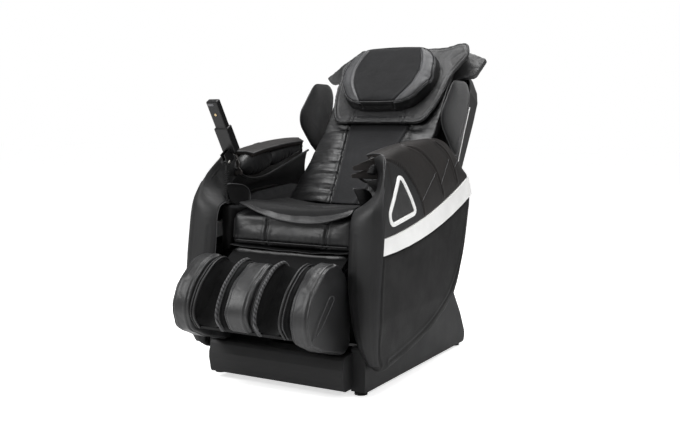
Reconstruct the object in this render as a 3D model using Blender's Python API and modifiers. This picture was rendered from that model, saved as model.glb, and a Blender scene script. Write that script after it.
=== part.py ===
"""Massage chair: a tilting seat with shell arms on a floor base, a reclining back that holds a travelling
massage carriage, a lifting calf rest, and a remote control on a stand.

Metres, +Z up, the sitter faces -Y. Dimensions are written in a working frame whose Y is 0 at the base's
front feet; the empty "chair" carries everything to the final frame, centred on the floor.
"""

import math

import bmesh
import bpy
from mathutils import Matrix, Vector

# ---------------------------------------------------------------- driving dimensions
CENTRE_Y = 0.3899          # middle of the chair's length, in the working frame
GAP = 0.0005               # clearance between pieces that lie against each other
LEFT, RIGHT = 1, -1        # the sitter's left hand is towards +X
SIDES = (("left", LEFT), ("right", RIGHT))

TILT_AXIS = (0.36, 0.30)       # Y, Z of the body's pivot on the base
RECLINE_AXIS = (0.56, 0.43)    # Y, Z of the backrest's pivot
LEG_AXIS = (0.035, 0.40)       # Y, Z of the calf rest's pivot
TILT_SWING, RECLINE_SWING, LEG_SWING = 15.0, 38.0, 70.0   # degrees from rest to the far end
BACK_LEAN = 29.0               # degrees behind upright
LEG_LEAN = 40.0                # degrees the calf rest's length leans forward of hanging

BASE_IN, BASE_OUT = 0.262, 0.315
BASE_FRONT, BASE_REAR = 0.008, 0.860
FOOT_HEIGHT, FOOT_RADIUS = 0.012, 0.022
COVER_WALL = 0.004
FRONT_HALF = 0.268

SEAT_HALF = 0.245
SEAT_FRONT, SEAT_REAR = 0.045, 0.520       # at its top; the rear face slants like the back
SEAT_LOW, SEAT_TOP = 0.460, 0.575

ARM_OUT = 0.385            # outermost face of the arms
ARM_WALL_IN = 0.352        # inner face of the outer panels
PILLAR_IN = 0.297          # inner edge of the arm's front pillar
ARM_PAD_IN = 0.252
COVER_THICK = 0.018        # upholstered shell above the band
HAND_PAD_THICK = 0.030

LEG_HALF = 0.264
LEG_BAND = 0.070           # thickness of an outer calf pad
LEG_CENTRE_HALF = 0.044
CELL_THICK = 0.028

BACK_HALF = 0.250
SHOULDER_HALF = 0.308
RAIL_IN, RAIL_OUT = 0.190, 0.215
RAIL_TOP = 0.700
CARRIAGE_Z = 0.300         # where the carriage rests along the back

RECLINE_LEVER = 0.110
LEG_LEVER = 0.070
TILT_LEVER = 0.118
PIN_RADIUS, PIN_HOLE = 0.012, 0.0128
LEVER_PIN = 0.005

HANDSET_LEAN = 31.0        # degrees the remote leans away from the sitter
STAND_X, STAND_Y = -0.275, 0.065
STAND_TOP = 0.750


# ---------------------------------------------------------------- scene, materials, placing
def clear_scene():
    for obj in list(bpy.data.objects):
        bpy.data.objects.remove(obj)


def new_collection(name, hidden=False):
    made = bpy.data.collections.new(name)
    bpy.context.scene.collection.children.link(made)
    made.hide_render = hidden
    return made


def material(name, colour, roughness, metallic=0.0):
    made = bpy.data.materials.new(name)
    made.use_nodes = True
    shader = made.node_tree.nodes["Principled BSDF"]
    shader.inputs["Base Color"].default_value = (*colour, 1.0)
    shader.inputs["Roughness"].default_value = roughness
    shader.inputs["Metallic"].default_value = metallic
    made.diffuse_color = (*colour, 1.0)
    return made


clear_scene()
PARTS = new_collection("massage_chair")
CUTTERS = new_collection("cutters", hidden=True)

LEATHER = material("black_leather", (0.018, 0.018, 0.020), 0.42)
ARM_LEATHER = material("arm_leather", (0.026, 0.021, 0.019), 0.45)
FABRIC = material("black_fabric", (0.012, 0.012, 0.014), 0.90)
PLASTIC = material("black_plastic", (0.030, 0.030, 0.032), 0.50)
WHITE = material("white_gloss", (0.80, 0.80, 0.80), 0.25)
STEEL = material("painted_steel", (0.055, 0.055, 0.060), 0.45, 0.6)
BRIGHT = material("bright_steel", (0.55, 0.55, 0.57), 0.30, 1.0)
RUBBER = material("rubber", (0.020, 0.020, 0.020), 0.85)
SILVER = material("silver_plastic", (0.60, 0.58, 0.54), 0.35, 0.4)


def empty(name, location, parent=None, lean=0.0):
    """A joint's empty. lean turns its Z axis from straight up towards +Y, in degrees."""
    made = bpy.data.objects.new(name, None)
    made.empty_display_size = 0.05
    made.location = location
    made.rotation_euler = (-math.radians(lean), 0.0, 0.0)
    made.parent = parent
    PARTS.objects.link(made)
    return made


CHAIR = empty("chair", (0.0, -CENTRE_Y, 0.0))
SEAT = empty("seat_pivot", (0.0, *TILT_AXIS), CHAIR)
BACK = empty("back_pivot", (0.0, *RECLINE_AXIS), CHAIR, BACK_LEAN)
LEG = empty("leg_pivot", (0.0, *LEG_AXIS), CHAIR, -LEG_LEAN + 2 * LEG_LEAN)
CARRIAGE = empty("carriage_centre", (0.0, 0.0, CARRIAGE_Z), BACK)
REMOTE = empty("remote_pivot", (STAND_X, STAND_Y, STAND_TOP), CHAIR, -HANDSET_LEAN)


def settle(obj, parent, mat=None, in_chair_frame=True):
    """Hangs obj on a joint's empty. Its own numbers are in the working frame, or in the empty's frame."""
    if mat is not None:
        obj.data.materials.append(mat)
    obj.parent = parent
    if in_chair_frame and parent is not CHAIR:
        place = Matrix.Translation(parent.location) @ parent.rotation_euler.to_matrix().to_4x4()
        obj.matrix_parent_inverse = place.inverted()
    return obj


def link(name, mesh, collection=PARTS):
    obj = bpy.data.objects.new(name, mesh)
    collection.objects.link(obj)
    return obj


def as_helper(obj):
    """Moves a shape to the cutters' collection, where it only cuts or joins."""
    PARTS.objects.unlink(obj)
    CUTTERS.objects.link(obj)
    obj.hide_render = True
    obj.display_type = "WIRE"
    return obj


# ---------------------------------------------------------------- shapes
def box(name, low, high):
    """A box between two corners."""
    low, high = Vector(low), Vector(high)
    form = bmesh.new()
    bmesh.ops.create_cube(form, size=1.0)
    bmesh.ops.scale(form, vec=high - low, verts=form.verts)
    bmesh.ops.translate(form, vec=(low + high) / 2, verts=form.verts)
    mesh = bpy.data.meshes.new(name)
    form.to_mesh(mesh)
    form.free()
    return link(name, mesh)


def bar(name, start, end, radius, sides=16):
    """A round bar between two points."""
    start, end = Vector(start), Vector(end)
    along = end - start
    turn = along.to_track_quat("Z", "Y").to_matrix().to_4x4()
    form = bmesh.new()
    bmesh.ops.create_cone(form, cap_ends=True, segments=sides, radius1=radius, radius2=radius,
                          depth=along.length, matrix=Matrix.Translation((start + end) / 2) @ turn)
    mesh = bpy.data.meshes.new(name)
    form.to_mesh(mesh)
    form.free()
    return link(name, mesh)


def plate(name, outlines, low, high, normal="X"):
    """Flat outlines extruded along normal from low to high. An outline inside another is a hole.
    For normal X the outline's points are (Y, Z), for Y they are (X, Z)."""
    curve = bpy.data.curves.new(name, "CURVE")
    curve.dimensions = "2D"
    curve.fill_mode = "BOTH"
    curve.extrude = (high - low) / 2
    for outline in outlines:
        spline = curve.splines.new("POLY")
        spline.points.add(len(outline) - 1)
        for point, (a, b) in zip(spline.points, outline):
            point.co = (a, b, 0.0, 1.0)
        spline.use_cyclic_u = True
    flat = link(name + "_outline", curve)
    bpy.context.view_layer.update()
    graph = bpy.context.evaluated_depsgraph_get()
    mesh = bpy.data.meshes.new_from_object(flat.evaluated_get(graph))
    bpy.data.objects.remove(flat)
    mesh.name = name
    form = bmesh.new()
    form.from_mesh(mesh)
    bmesh.ops.remove_doubles(form, verts=form.verts, dist=0.00001)
    middle = (low + high) / 2
    if normal == "X":
        turn = Matrix(((0, 0, 1, middle), (1, 0, 0, 0), (0, 1, 0, 0), (0, 0, 0, 1)))
    else:
        turn = Matrix(((1, 0, 0, 0), (0, 0, -1, middle), (0, 1, 0, 0), (0, 0, 0, 1)))
    bmesh.ops.transform(form, matrix=turn, verts=form.verts)
    form.to_mesh(mesh)
    form.free()
    return link(name, mesh)


def rounded(corners, step=30.0):
    """An outline whose corners (a, b, radius) are filleted with arcs, a point every step degrees."""
    outline = []
    count = len(corners)
    for index, (a, b, radius) in enumerate(corners):
        here = Vector((a, b))
        before = (Vector(corners[index - 1][:2]) - here).normalized()
        after = (Vector(corners[(index + 1) % count][:2]) - here).normalized()
        half = before.angle(after) / 2
        if radius == 0 or half > math.radians(89):
            outline.append((a, b))
            continue
        reach = radius / math.tan(half)
        centre = here + (before + after).normalized() * (radius / math.sin(half))
        first = here + before * reach - centre
        last = here + after * reach - centre
        sweep = first.angle_signed(last)
        pieces = max(1, round(abs(math.degrees(sweep)) / step))
        for piece in range(pieces + 1):
            turned = first.copy()
            turned.rotate(Matrix.Rotation(-sweep * piece / pieces, 2))
            outline.append(tuple(centre + turned))
    return outline


def smooth(points, pieces=3):
    """Points along a Catmull-Rom curve through the given points, ends included."""
    padded = [points[0], *points, points[-1]]
    run = []
    for index in range(1, len(padded) - 2):
        p0, p1, p2, p3 = (Vector(p) for p in padded[index - 1:index + 3])
        for piece in range(pieces):
            t = piece / pieces
            run.append(tuple(0.5 * (2 * p1 + (p2 - p0) * t + (2 * p0 - 5 * p1 + 4 * p2 - p3) * t * t
                                    + (3 * p1 - p0 - 3 * p2 + p3) * t ** 3)))
    return run + [tuple(points[-1])]


def inset(outline, depth):
    """The outline moved inwards by depth; it runs anticlockwise or clockwise."""
    count = len(outline)
    area = sum(outline[i][0] * outline[(i + 1) % count][1] - outline[(i + 1) % count][0] * outline[i][1]
               for i in range(count))
    turn = 1.0 if area > 0 else -1.0
    moved = []
    for i in range(count):
        here = Vector(outline[i])
        back = (here - Vector(outline[i - 1])).normalized()
        ahead = (Vector(outline[(i + 1) % count]) - here).normalized()
        normal = Vector((-(back + ahead).y, (back + ahead).x)).normalized() * turn
        moved.append(tuple(here + normal * depth))
    return moved


def combine(obj, tool, operation):
    as_helper(tool)
    tool.parent = obj.parent
    tool.matrix_parent_inverse = obj.matrix_parent_inverse
    change = obj.modifiers.new(f"{operation.lower()}_{tool.name}", "BOOLEAN")
    change.operation = operation
    change.object = tool
    return obj


def join(obj, *tools):
    for tool in tools:
        combine(obj, tool, "UNION")
    return obj


def cut(obj, *tools):
    for tool in tools:
        combine(obj, tool, "DIFFERENCE")
    return obj


def soften(obj, width, segments=2):
    """Rounds the object's edges."""
    bevel = obj.modifiers.new("rounded_edges", "BEVEL")
    bevel.width = width
    bevel.segments = segments
    bevel.limit_method = "ANGLE"
    bevel.angle_limit = math.radians(40)
    return obj


def spread(side, low, high):
    """The two X limits of a piece on one side, lowest first."""
    return (low, high) if side == LEFT else (-high, -low)


# ---------------------------------------------------------------- curves of the arm, in Y and Z
def band_low(y):
    return 0.467 + 0.02 * y + 0.245 * y * y


def band_high(y):
    return 0.521 + 0.06 * y + 0.245 * y * y


BAND_STEPS = 8
BAND_FRONT, BAND_REAR_HIGH, BAND_REAR_LOW = 0.0, 0.705, 0.742
CROWN = smooth([(0.080, 0.766), (0.150, 0.787), (0.250, 0.806), (0.400, 0.824), (0.550, 0.831),
                (0.620, 0.822), (0.665, 0.798), (0.705, 0.745)], 2)
PANEL_EDGE = smooth([(BAND_REAR_LOW, 0.618), (0.720, 0.530), (0.690, 0.425), (0.645, 0.325), (0.590, 0.250),
                     (0.484, 0.178), (0.326, 0.124), (0.174, 0.093), (0.072, 0.076)], 2)
PANEL_FRONT = [(0.030, 0.084), (-0.008, 0.108), (-0.024, 0.145), (-0.034, 0.250), (-0.032, 0.330),
               (-0.018, 0.455)]
PANEL_BEND_Z, PANEL_BEND = 0.260, 0.13     # below this height the outer panels lean inwards


def crown_height(y):
    """Height of the arm's crown above the floor at y."""
    for (y0, z0), (y1, z1) in zip(CROWN, CROWN[1:]):
        if y0 <= y <= y1:
            return z0 + (z1 - z0) * (y - y0) / (y1 - y0)
    return CROWN[0][1] if y < CROWN[0][0] else CROWN[-1][1]


def along(function, start, end, steps=BAND_STEPS, drop=0.0):
    """Points (y, function(y) - drop) from start to end."""
    ys = [start + (end - start) * i / steps for i in range(steps + 1)]
    return [(y, function(y) - drop) for y in ys]


# ---------------------------------------------------------------- base
BASE_SIDE = rounded([
    (BASE_FRONT, FOOT_HEIGHT, 0.004), (BASE_FRONT, 0.160, 0.012), (0.038, 0.160, 0.010), (0.075, 0.115, 0.02),
    (0.330, 0.115, 0.06), (0.530, 0.215, 0.06), (0.640, 0.275, 0.05), (0.715, 0.262, 0.06),
    (0.810, 0.135, 0.10), (BASE_REAR, 0.045, 0.04), (0.850, FOOT_HEIGHT, 0.010)])
RAIL_LOW, RAIL_HIGH = 0.030, 0.070
WHEEL_Y, WHEEL_Z, WHEEL_RADIUS = 0.822, 0.033, 0.025
TILT_ROD_Z = TILT_AXIS[1] - TILT_LEVER


def base_frame():
    """Welded base: two rails, three cross members, pivot uprights, motor bracket and wheel brackets."""
    frame = box("base_frame", (-0.250, 0.750, RAIL_LOW), (0.250, 0.780, RAIL_HIGH))
    settle(frame, CHAIR, STEEL)
    pieces = [box("base_front_cross", (-0.250, 0.040, RAIL_LOW), (0.250, 0.070, RAIL_HIGH)),
              box("base_mid_cross", (-0.250, 0.340, RAIL_LOW), (0.250, 0.380, RAIL_HIGH)),
              box("base_motor_post", (-0.022, 0.752, 0.050), (0.022, 0.776, 0.205))]
    for name, side in SIDES:
        low, high = spread(side, 0.232, 0.252)
        pieces.append(box(f"base_rail_{name}", (low, 0.042, RAIL_LOW + 0.002),
                          (high, 0.778, RAIL_HIGH - 0.002)))
        low, high = spread(side, 0.236, 0.246)
        upright = rounded([(0.300, 0.040, 0), (0.420, 0.040, 0), (0.385, 0.330, 0.020),
                           (0.335, 0.330, 0.020)])
        pieces.append(plate(f"base_upright_{name}", [upright], low, high))
        low, high = spread(side, 0.202, 0.210)
        pieces.append(box(f"wheel_bracket_{name}", (low, 0.765, 0.022), (high, 0.834, 0.060)))
        pieces.append(bar(f"wheel_stub_{name}", (side * 0.206, WHEEL_Y, WHEEL_Z),
                          (side * 0.242, WHEEL_Y, WHEEL_Z), 0.0042, 12))
    join(frame, *pieces)
    for name, side in SIDES:
        bore = bar(f"tilt_bore_{name}", (side * 0.22, *TILT_AXIS), (side * 0.26, *TILT_AXIS), PIN_HOLE, 20)
        cut(frame, bore)
    return frame


def base_covers():
    for name, side in SIDES:
        low, high = spread(side, BASE_IN, BASE_OUT)
        cover = settle(plate(f"base_cover_{name}", [BASE_SIDE], low, high), CHAIR, PLASTIC)
        low, high = spread(side, BASE_IN - 0.02, BASE_OUT - COVER_WALL)
        cut(cover, plate(f"base_hollow_{name}", [inset(BASE_SIDE, COVER_WALL)], low, high))
    front = rounded([(-0.048, 0.022, 0.012), (-0.062, 0.085, 0.04), (-0.046, 0.136, 0.018),
                     (BASE_FRONT - GAP, 0.143, 0.004), (BASE_FRONT - GAP, 0.022, 0.002)])
    hollow = [(0.0, 0.010), (-0.042, 0.010), (-0.057, 0.085), (-0.042, 0.128), (0.0, 0.136)]
    cover = settle(plate("base_front_cover", [front], -FRONT_HALF, FRONT_HALF), CHAIR, PLASTIC)
    soften(cover, 0.012)
    cut(cover, plate("front_hollow", [hollow], -FRONT_HALF + 0.006, FRONT_HALF - 0.006))
    rear = box("base_rear_cover", (-0.198, 0.786, 0.020), (0.198, 0.794, 0.128))
    settle(rear, CHAIR, PLASTIC)


def feet_and_wheels():
    for end, y in (("front", 0.035), ("rear", 0.815)):
        for name, side in SIDES:
            foot = bar(f"foot_{end}_{name}", (side * 0.285, y, 0.0),
                       (side * 0.285, y, FOOT_HEIGHT - GAP), FOOT_RADIUS, 20)
            settle(foot, CHAIR, RUBBER)
    for name, side in SIDES:
        wheel = bar(f"transport_wheel_{name}", (side * 0.214, WHEEL_Y, WHEEL_Z),
                    (side * 0.234, WHEEL_Y, WHEEL_Z), WHEEL_RADIUS, 24)
        axle = empty(f"wheel_axle_{name}", (side * 0.224, WHEEL_Y, WHEEL_Z), CHAIR)
        settle(wheel, axle, RUBBER)
        cut(wheel, bar(f"wheel_bore_{name}", (side * 0.20, WHEEL_Y, WHEEL_Z),
                       (side * 0.25, WHEEL_Y, WHEEL_Z), 0.0049, 12))


INLET_Y = 0.794 + GAP
SWITCH_X, SWITCH_Z = 0.150, 0.075


def power_parts():
    """The mains inlet on the rear cover, and its rocker switch."""
    inlet = box("power_inlet", (0.090, INLET_Y, 0.055), (0.165, INLET_Y + 0.020, 0.095))
    settle(inlet, CHAIR, PLASTIC)
    socket = rounded([(0.098, 0.064, 0), (0.130, 0.064, 0), (0.130, 0.080, 0.004), (0.124, 0.086, 0.004),
                      (0.104, 0.086, 0.004), (0.098, 0.080, 0.004)])
    cut(inlet, plate("socket_recess", [socket], INLET_Y + 0.006, INLET_Y + 0.030, "Y"),
        box("switch_recess", (SWITCH_X - 0.007, INLET_Y + 0.006, SWITCH_Z - 0.0105),
            (SWITCH_X + 0.007, INLET_Y + 0.030, SWITCH_Z + 0.0105)))
    pivot = empty("switch_pivot", (SWITCH_X, INLET_Y + 0.017, SWITCH_Z), CHAIR)
    rocker = box("power_switch", (SWITCH_X - 0.006, INLET_Y + 0.013, SWITCH_Z - 0.009),
                 (SWITCH_X + 0.006, INLET_Y + 0.021, SWITCH_Z + 0.009))
    settle(rocker, pivot, PLASTIC)


# ---------------------------------------------------------------- linear actuators
TUBE_RADIUS, TUBE_BORE, ROD_RADIUS = 0.018, 0.0112, 0.009
EYE_HALF, EYE_TALL = 0.014, 0.022


def actuator(name, parent, mat_parent, x, z, mouth, back, tip, slot_half, slot_drop):
    """A motor with its tube, from back to mouth along Y, and a rod from in it to the slotted eye at tip."""
    reach = 1 if tip > mouth else -1
    motor = box(f"{name}_motor", (x - 0.030, min(back, back - reach * 0.08), z - 0.030),
                (x + 0.030, max(back, back - reach * 0.08), z + 0.030))
    settle(motor, mat_parent, STEEL)
    join(motor, bar(f"{name}_tube", (x, back - reach * 0.02, z), (x, mouth, z), TUBE_RADIUS, 16))
    start, end = (x, back - reach * 0.01, z), (x, mouth + reach * 0.02, z)
    cut(motor, bar(f"{name}_bore", start, end, TUBE_BORE, 16))
    rod = bar(f"{name}_rod", (x, mouth - reach * 0.105, z), (x, tip - reach * 0.008, z), ROD_RADIUS, 12)
    settle(rod, parent, BRIGHT)
    join(rod, box(f"{name}_eye", (x - 0.006, tip - EYE_HALF, z - EYE_TALL),
                  (x + 0.006, tip + EYE_HALF, z + EYE_TALL)))
    corners = ((-1, -1), (1, -1), (1, 1), (-1, 1))
    slot = rounded([(tip + a * slot_half, z + b * slot_drop, slot_half * 0.9) for a, b in corners])
    cut(rod, plate(f"{name}_slot", [slot], x - 0.02, x + 0.02))
    return motor, rod


def actuators():
    seat_deck = 0.432
    recline_z = RECLINE_AXIS[1] - RECLINE_LEVER * (1 + math.cos(math.radians(RECLINE_SWING / 2))) / 2
    tip = RECLINE_AXIS[0] + RECLINE_LEVER * math.sin(math.radians(RECLINE_SWING / 2))
    slide = empty("recline_rod_end", (RECLINE_X, tip, recline_z), CHAIR)
    motor, _ = actuator("recline", slide, SEAT, RECLINE_X, recline_z, 0.450, 0.240, tip, 0.0075, 0.012)
    join(motor, box("recline_hanger", (RECLINE_X - 0.015, 0.180, recline_z + 0.02),
                    (RECLINE_X + 0.015, 0.220, seat_deck - 0.003)))
    leg_z = LEG_AXIS[1] - LEG_LEVER * (1 + math.cos(math.radians(LEG_SWING / 2))) / 2
    tip = LEG_AXIS[0] + LEG_LEVER * math.sin(math.radians(LEG_SWING / 2))
    slide = empty("leg_rod_end", (LEG_X, tip, leg_z), CHAIR)
    motor, _ = actuator("leg", slide, SEAT, LEG_X, leg_z, 0.160, 0.330, tip, 0.0075, 0.013)
    join(motor, box("leg_hanger", (LEG_X - 0.015, 0.350, leg_z + 0.02),
                    (LEG_X + 0.015, 0.390, seat_deck - 0.003)))
    tip = TILT_AXIS[0] + TILT_LEVER * math.sin(math.radians(TILT_SWING / 2))
    slide = empty("tilt_rod_end", (0.0, tip, TILT_ROD_Z), CHAIR)
    actuator("tilt", slide, CHAIR, 0.0, TILT_ROD_Z + 0.001, 0.520, 0.660, tip, 0.0075, 0.010)


RECLINE_X, LEG_X = 0.075, -0.075


# ---------------------------------------------------------------- seat
def lever(name, pivot, tip, x, half_gap=0.010, cheek=0.007, root=0.016):
    """Two cheeks from a cross tube at pivot to a pin at tip, either side of the plane x."""
    pivot, tip = Vector(pivot), Vector(tip)
    ahead = (tip - pivot).normalized()
    aside = Vector((-ahead.y, ahead.x))
    end = tip + ahead * 0.010
    outline = [tuple(pivot + aside * root), tuple(pivot - aside * root), tuple(end - aside * 0.010),
               tuple(end + aside * 0.010)]
    pieces = [plate(f"{name}_cheek_a", [outline], x - half_gap - cheek, x - half_gap),
              plate(f"{name}_cheek_b", [outline], x + half_gap, x + half_gap + cheek),
              bar(f"{name}_pin", (x - half_gap - 0.004, *tip), (x + half_gap + 0.004, *tip), LEVER_PIN, 12)]
    return pieces


def seat_frame():
    """Pressed seat deck with rails, tilt hangers, lugs for the back and the calf rest, and arm brackets."""
    deck = settle(box("seat_frame", (-0.238, 0.060, 0.434), (0.238, 0.480, 0.446)), SEAT, STEEL)
    pieces = []
    for name, side in SIDES:
        low, high = spread(side, 0.205, 0.234)
        pieces.append(box(f"seat_rail_{name}", (low, 0.085, 0.396), (high, 0.478, 0.438)))
        low, high = spread(side, 0.222, 0.232)
        hanger = rounded([(0.320, 0.420, 0), (0.400, 0.420, 0), (0.385, 0.278, 0.02), (0.335, 0.278, 0.02)])
        pieces.append(plate(f"tilt_hanger_{name}", [hanger], low, high))
        pieces.append(bar(f"tilt_pin_{name}", (side * 0.224, *TILT_AXIS), (side * 0.2525, *TILT_AXIS),
                          PIN_RADIUS, 20))
        rear = rounded([(0.440, 0.400, 0), (0.580, 0.405, 0.02), (0.585, 0.455, 0.02), (0.440, 0.442, 0)])
        pieces.append(plate(f"recline_lug_{name}", [rear], low, high))
        front = rounded([(0.130, 0.436, 0), (0.012, 0.425, 0.015), (0.012, 0.378, 0.015), (0.130, 0.400, 0)])
        pieces.append(plate(f"leg_lug_{name}", [front], low, high))
        for where, y in (("front", 0.110), ("rear", 0.455)):
            low_x, high_x = spread(side, 0.228, ARM_WALL_IN - GAP)
            pieces.append(box(f"arm_bracket_{where}_{name}", (low_x, y, 0.400), (high_x, y + 0.040, 0.430)))
    half_swing = math.radians(TILT_SWING / 2)
    rest_tip = (TILT_AXIS[0] + TILT_LEVER * math.sin(half_swing),
                TILT_AXIS[1] - TILT_LEVER * math.cos(half_swing))
    pieces += lever("tilt_lever", (0.370, 0.437), rest_tip, 0.0, root=0.022)
    join(deck, *pieces)
    for name, side in SIDES:
        for bore, axis in (("recline_bore", RECLINE_AXIS), ("leg_bore", LEG_AXIS)):
            cut(deck, bar(f"{bore}_{name}", (side * 0.21, *axis), (side * 0.24, *axis), PIN_HOLE, 20))
    return deck


def seat_soft_parts():
    profile = [(SEAT_FRONT, SEAT_LOW), (SEAT_REAR - 0.055, SEAT_LOW), (SEAT_REAR, SEAT_TOP),
               (SEAT_FRONT, SEAT_TOP)]
    cushion = plate("seat_cushion", [profile], -SEAT_HALF, SEAT_HALF)
    soften(settle(cushion, SEAT, LEATHER), 0.018)
    apron = rounded([(0.030, 0.446, 0.008), (0.034, 0.424, 0.008), (0.056, 0.424, 0.004), (0.056, 0.456, 0.004),
                     (0.034, 0.456, 0.008)])
    settle(plate("seat_apron", [apron], -0.190, 0.190), SEAT, LEATHER)


# ---------------------------------------------------------------- arms
COVER_LINES = (
    # x, part of the height up to the roof, drop below the crown, front y, rear y
    (0.380, 0.00, 0.0, -0.002, 0.702), (0.377, 0.28, 0.0, 0.008, 0.702), (0.368, 0.55, 0.0, 0.026, 0.694),
    (0.354, 0.80, 0.0, 0.058, 0.678), (0.338, 1.00, 0.028, 0.098, 0.656), (0.326, None, 0.010, 0.120, 0.625),
    (0.304, None, 0.000, 0.138, 0.590), (0.276, None, 0.001, 0.154, 0.545), (0.251, None, 0.005, 0.164, 0.520),
    (0.232, None, 0.011, 0.170, 0.510))


def cover_point(line, t):
    """A point of the cover's outer face: line is one of COVER_LINES, t runs from the front to the rear."""
    x, part, drop, front, rear = line
    y = front + (rear - front) * t
    crown = crown_height(max(y, 0.08))
    if part is None:
        return Vector((x, y, crown - drop))
    foot = band_high(y) + GAP
    return Vector((x, y, foot + (crown - 0.028 - foot) * part))


def bend_below(mesh, height, rate):
    """Leans the part of a mesh under this height towards the middle, by rate metres a metre."""
    form = bmesh.new()
    form.from_mesh(mesh)
    everything = form.verts[:] + form.edges[:] + form.faces[:]
    bmesh.ops.bisect_plane(form, geom=everything, plane_co=(0, 0, height), plane_no=(0, 0, 1))
    for vert in form.verts:
        vert.co.x -= rate * max(0.0, height - vert.co.z)
    form.to_mesh(mesh)
    form.free()


def thick_sheet(name, outer, thickness):
    """A closed body between a grid of points and the same grid moved by thickness, square to it."""
    inner = []
    for row in outer:
        moved = []
        for index, point in enumerate(row):
            ahead = row[min(index + 1, len(row) - 1)] - row[max(index - 1, 0)]
            normal = Vector((ahead.z, 0.0, -ahead.x)).normalized()
            moved.append(point - normal * thickness)
        moved[0] = Vector((row[0].x - thickness, row[0].y, row[0].z))
        inner.append(moved)
    form = bmesh.new()
    faces_of = [[form.verts.new(point) for point in row] for row in outer]
    backs_of = [[form.verts.new(point) for point in row] for row in inner]
    rows, columns = len(outer), len(outer[0])
    for i in range(rows - 1):
        for k in range(columns - 1):
            form.faces.new((faces_of[i][k], faces_of[i + 1][k], faces_of[i + 1][k + 1], faces_of[i][k + 1]))
            form.faces.new((backs_of[i][k], backs_of[i][k + 1], backs_of[i + 1][k + 1], backs_of[i + 1][k]))
        for k in (0, columns - 1):
            form.faces.new((faces_of[i][k], backs_of[i][k], backs_of[i + 1][k], faces_of[i + 1][k]))
    for i in (0, rows - 1):
        for k in range(columns - 1):
            form.faces.new((faces_of[i][k], faces_of[i][k + 1], backs_of[i][k + 1], backs_of[i][k]))
    bmesh.ops.recalc_face_normals(form, faces=form.faces)
    mesh = bpy.data.meshes.new(name)
    form.to_mesh(mesh)
    form.free()
    return link(name, mesh)


def arm_shell(name, side):
    """Outer panel with its front pillar, the white band, and the cover rolled over the top."""
    low, high = spread(side, ARM_WALL_IN, ARM_OUT - 0.005)
    outline = along(band_low, BAND_FRONT, BAND_REAR_LOW, drop=GAP) + PANEL_EDGE[1:] + PANEL_FRONT
    panel = plate(f"arm_panel_{name}", [outline], low, high)
    bend_below(panel.data, PANEL_BEND_Z, PANEL_BEND * side)
    settle(panel, SEAT, LEATHER)
    low, high = spread(side, PILLAR_IN, ARM_WALL_IN + 0.004)
    pillar = rounded([(0.000, 0.112, 0.01), (0.016, 0.112, 0.005), (0.024, 0.460, 0), (-0.016, 0.460, 0),
                      (-0.030, 0.330, 0), (-0.032, 0.250, 0), (-0.020, 0.145, 0.01)])
    low_top, high_top = spread(side, PILLAR_IN, 0.342)
    top = rounded([(-0.016, 0.455, 0), (0.024, 0.455, 0), (0.030, 0.603, 0.010), (-0.002, 0.598, 0.012)])
    join(panel, plate(f"arm_pillar_{name}", [pillar], low, high),
         plate(f"pillar_top_{name}", [top], low_top, high_top))
    taper = [(0.280, 0.050), (0.280, 0.240), (PILLAR_IN, 0.240), (0.322, 0.170), (0.336, 0.050)]
    cut(panel, plate(f"pillar_taper_{name}", [[(side * x, z) for x, z in taper]], -0.060, 0.040, "Y"))
    low, high = spread(side, ARM_WALL_IN, ARM_OUT)
    band = along(band_low, BAND_FRONT, BAND_REAR_LOW - 0.002)
    band += along(band_high, BAND_REAR_HIGH, BAND_FRONT, drop=GAP)
    settle(plate(f"arm_band_{name}", [band], low, high), SEAT, WHITE)
    steps = 12
    grid = [[cover_point(line, i / steps) for line in COVER_LINES] for i in range(steps + 1)]
    for row in grid:
        for point in row:
            point.x *= side
    settle(thick_sheet(f"arm_cover_{name}", grid, COVER_THICK * side), SEAT, ARM_LEATHER)


RING = ((-0.010, 0.538, 0.034), (0.259, 0.580, 0.020), (0.170, 0.732, 0.026))
RING_WIDTH, RING_RAISE = 0.016, 0.0045


def arm_ring(name, side):
    """The three-cornered trim ring, following the cover's outer face."""
    outer = rounded(RING)
    low, high = spread(side, 0.330, 0.400)
    ring = plate(f"arm_ring_{name}", [outer, inset(outer, RING_WIDTH)], low, high)
    settle(ring, SEAT, WHITE)
    steps = 12
    grid = [[cover_point(line, i / steps) for line in COVER_LINES[:6]] for i in range(steps + 1)]
    for row in grid:
        for index, point in enumerate(row):
            point.x = (point.x + GAP + RING_RAISE) * side
            point.z += -0.010 if index == 0 else 0.0
    return combine(ring, thick_sheet(f"ring_layer_{name}", grid, RING_RAISE * side), "INTERSECT")


def arm_pads(name, side):
    """The hand pad under the roof and the padded inner wall that carries the forearm."""
    low, high = spread(side, 0.238, 0.298)
    clear = COVER_THICK + 0.012
    top = along(crown_height, 0.150, 0.510, 6, clear)
    under = along(crown_height, 0.510, 0.150, 6, clear + HAND_PAD_THICK)
    settle(plate(f"arm_hand_pad_{name}", [top + under], low, high), SEAT, LEATHER)
    low, high = spread(side, ARM_PAD_IN, PILLAR_IN - GAP)
    wall = rounded([(0.050, 0.438, 0.006), (0.050, 0.600, 0.004), (0.120, 0.602, 0.03), (0.210, 0.642, 0.04),
                    (0.470, 0.660, 0.05), (0.590, 0.640, 0.03), (0.600, 0.470, 0.02), (0.560, 0.438, 0.02)])
    settle(plate(f"arm_inner_pad_{name}", [wall], low, high), SEAT, FABRIC)


# ---------------------------------------------------------------- backrest, in the back's own frame
SHELL_FRONT, SHELL_REAR = 0.020, 0.112
SHELL_WALL = 0.006


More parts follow.
